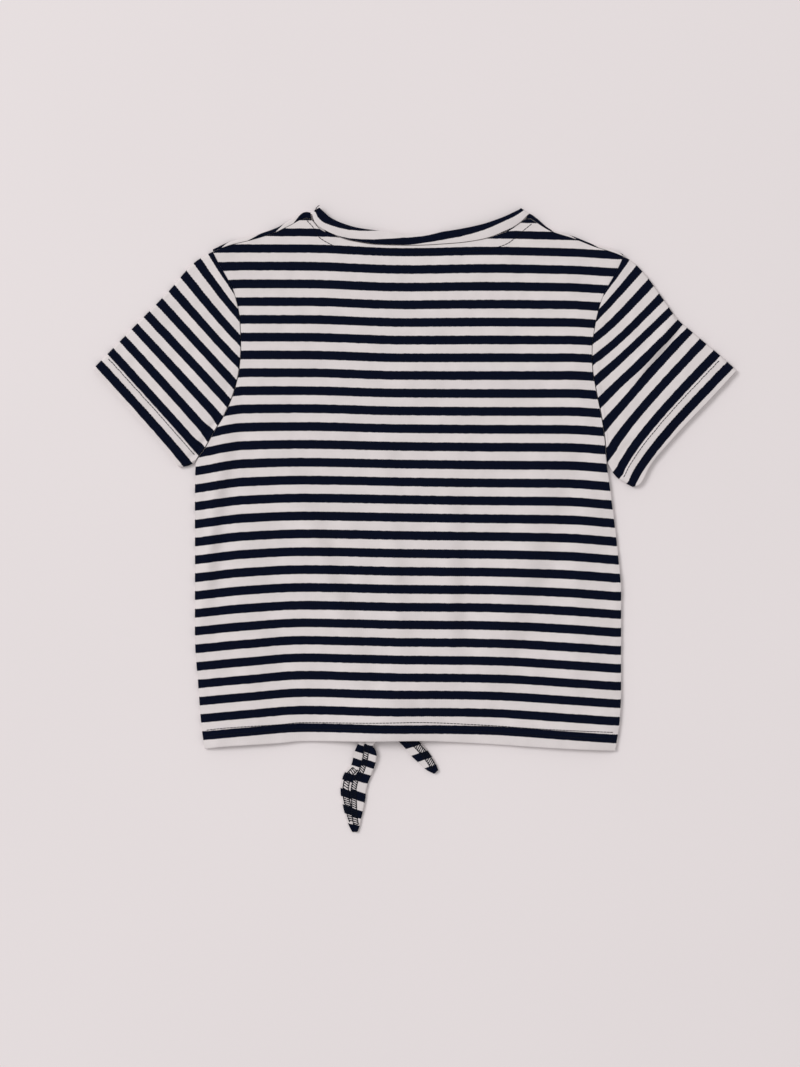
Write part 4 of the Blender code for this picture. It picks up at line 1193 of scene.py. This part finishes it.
class ShirtSewing(bpy.types.PropertyGroup):
    """Sizes of the stitches."""
    stitch: length_setting("Stitch length", "Length of one stitch", 0.0028, 0.001, 0.006)
    thread: length_setting("Thread radius", "Half the thickness of the sewing thread",
                           0.00036, 0.0001, 0.001)


class ShirtStage(bpy.types.PropertyGroup):
    """The camera's height, what it shows and the light's strength."""
    camera_height: length_setting("Camera height", "Height of the camera above the surface",
                                  1.8, 0.5, 6.0)
    frame_height: length_setting("Frame height", "Length of the surface that the picture shows",
                                 0.9603, 0.2, 3.0)
    light: bpy.props.FloatProperty(
        name="Light", description="Strength of the far soft box", subtype="POWER",
        default=640.0, min=0.0, max=5000.0)


def jersey():
    """The shirt's cloth, made once."""
    name = "cotton_jersey_striped"
    colours = bpy.context.scene.shirt_colours
    found = bpy.data.materials.get(name)
    return found or striped_jersey(name, tuple(colours.navy), tuple(colours.off_white))


# ---- Operators ----
class SHIRT_OT_front(bpy.types.Operator):
    """Lay the front panel on the surface, turned over at the shoulders"""
    bl_idname = "shirt.front"
    bl_label = "Front panel"

    def execute(self, context):
        make_front(jersey())
        return {"FINISHED"}


class SHIRT_OT_back(bpy.types.Operator):
    """Lay the back panel with its creases over the front"""
    bl_idname = "shirt.back"
    bl_label = "Back panel"

    def execute(self, context):
        make_back(jersey())
        return {"FINISHED"}


class SHIRT_OT_sleeves(bpy.types.Operator):
    """Set both short sleeves into the armholes"""
    bl_idname = "shirt.sleeves"
    bl_label = "Sleeves"

    def execute(self, context):
        for sleeve in SLEEVES:
            make_sleeve(sleeve, jersey())
        return {"FINISHED"}


class SHIRT_OT_neckband(bpy.types.Operator):
    """Sew the folded band round the neck"""
    bl_idname = "shirt.neckband"
    bl_label = "Neckband"

    def execute(self, context):
        make_neckband(jersey())
        return {"FINISHED"}


class SHIRT_OT_ties(bpy.types.Operator):
    """Knot the two tails of the front under the hem"""
    bl_idname = "shirt.ties"
    bl_label = "Ties and knot"

    def execute(self, context):
        knot = make_knot(jersey())
        left, right = (make_tie(tail, jersey()) for tail in TAILS)
        return {"FINISHED"}


class SHIRT_OT_stitching(bpy.types.Operator):
    """Sew the hem, the cuffs and the neck, and overlock the ties"""
    bl_idname = "shirt.stitching"
    bl_label = "Stitching"

    def execute(self, context):
        sewing = context.scene.shirt_sewing
        finish = thread("polyester_thread_spun", tuple(context.scene.shirt_colours.thread))
        make_stitching(finish, sewing.stitch / MM, sewing.thread / MM)
        return {"FINISHED"}


class SHIRT_OT_stage(bpy.types.Operator):
    """Put a plain pale floor, soft light and the camera round the shirt"""
    bl_idname = "shirt.stage"
    bl_label = "Stage"

    def execute(self, context):
        scene = context.scene
        settings = scene.shirt_stage
        floor = bpy.data.objects.new("floor", bpy.data.meshes.new("floor"))
        corners = [(x * FLOOR_REACH, y * FLOOR_REACH, FLOOR_LEVEL)
                   for x, y in ((-1, -1), (1, -1), (1, 1), (-1, 1))]
        floor.data.from_pydata(corners, [], [(0, 1, 2, 3)])
        floor.data.materials.append(painted_board("painted_board",
                                                  tuple(scene.shirt_colours.floor)))
        scene.collection.objects.link(floor)
        scene.world = scene.world or bpy.data.worlds.new("studio")
        scene.world.use_nodes = True
        background = scene.world.node_tree.nodes["Background"]
        background.inputs["Color"].default_value = ROOM_COLOUR
        background.inputs["Strength"].default_value = ROOM_LIGHT
        soft_box = bpy.data.lights.new("soft_box_left", "AREA")
        soft_box.shape = "DISK"
        soft_box.size = SOFT_BOX_SIZE
        soft_box.energy = settings.light
        holder = bpy.data.objects.new("soft_box_left", soft_box)
        holder.location = SOFT_BOX_PLACE
        aim = -np.array(holder.location)
        aim /= np.linalg.norm(aim)
        holder.rotation_euler = (math.acos(-aim[2]), 0.0, math.atan2(-aim[0], aim[1]))
        scene.collection.objects.link(holder)
        camera = bpy.data.cameras.new("camera")
        camera.sensor_fit = "VERTICAL"
        camera.sensor_height = SENSOR_HEIGHT
        camera.lens = SENSOR_HEIGHT * settings.camera_height / settings.frame_height
        eye = bpy.data.objects.new("camera", camera)
        eye.location = (*VIEW_MIDDLE, settings.camera_height)
        scene.collection.objects.link(eye)
        scene.camera = eye
        scene.view_settings.view_transform = "Standard"
        return {"FINISHED"}


class SHIRT_PT_panel(bpy.types.Panel):
    """Lists the settings and the steps in order"""
    bl_idname = "SHIRT_PT_panel"
    bl_label = "Knotted T-shirt"
    bl_space_type = "VIEW_3D"
    bl_region_type = "UI"
    bl_category = "T-shirt"

    def draw(self, context):
        layout = self.layout
        for group in GROUPS:
            box = layout.box()
            for name in GROUPS[group].__annotations__:
                box.prop(getattr(context.scene, group), name)
        for step in STEPS:
            layout.operator(step.bl_idname)


GROUPS = {"shirt_colours": ShirtColours, "shirt_sewing": ShirtSewing, "shirt_stage": ShirtStage}
STEPS = (SHIRT_OT_front, SHIRT_OT_back, SHIRT_OT_sleeves, SHIRT_OT_neckband, SHIRT_OT_ties,
         SHIRT_OT_stitching, SHIRT_OT_stage)
CLASSES = (*GROUPS.values(), *STEPS, SHIRT_PT_panel)


def register():
    for kind in CLASSES:
        bpy.utils.register_class(kind)
    for name, kind in GROUPS.items():
        setattr(bpy.types.Scene, name, bpy.props.PointerProperty(type=kind))


def unregister():
    for name in GROUPS:
        delattr(bpy.types.Scene, name)
    for kind in reversed(CLASSES):
        bpy.utils.unregister_class(kind)


def main():
    register()
    for step in STEPS:
        group, name = step.bl_idname.split(".")
        getattr(getattr(bpy.ops, group), name)()


if __name__ == "__main__":
    main()
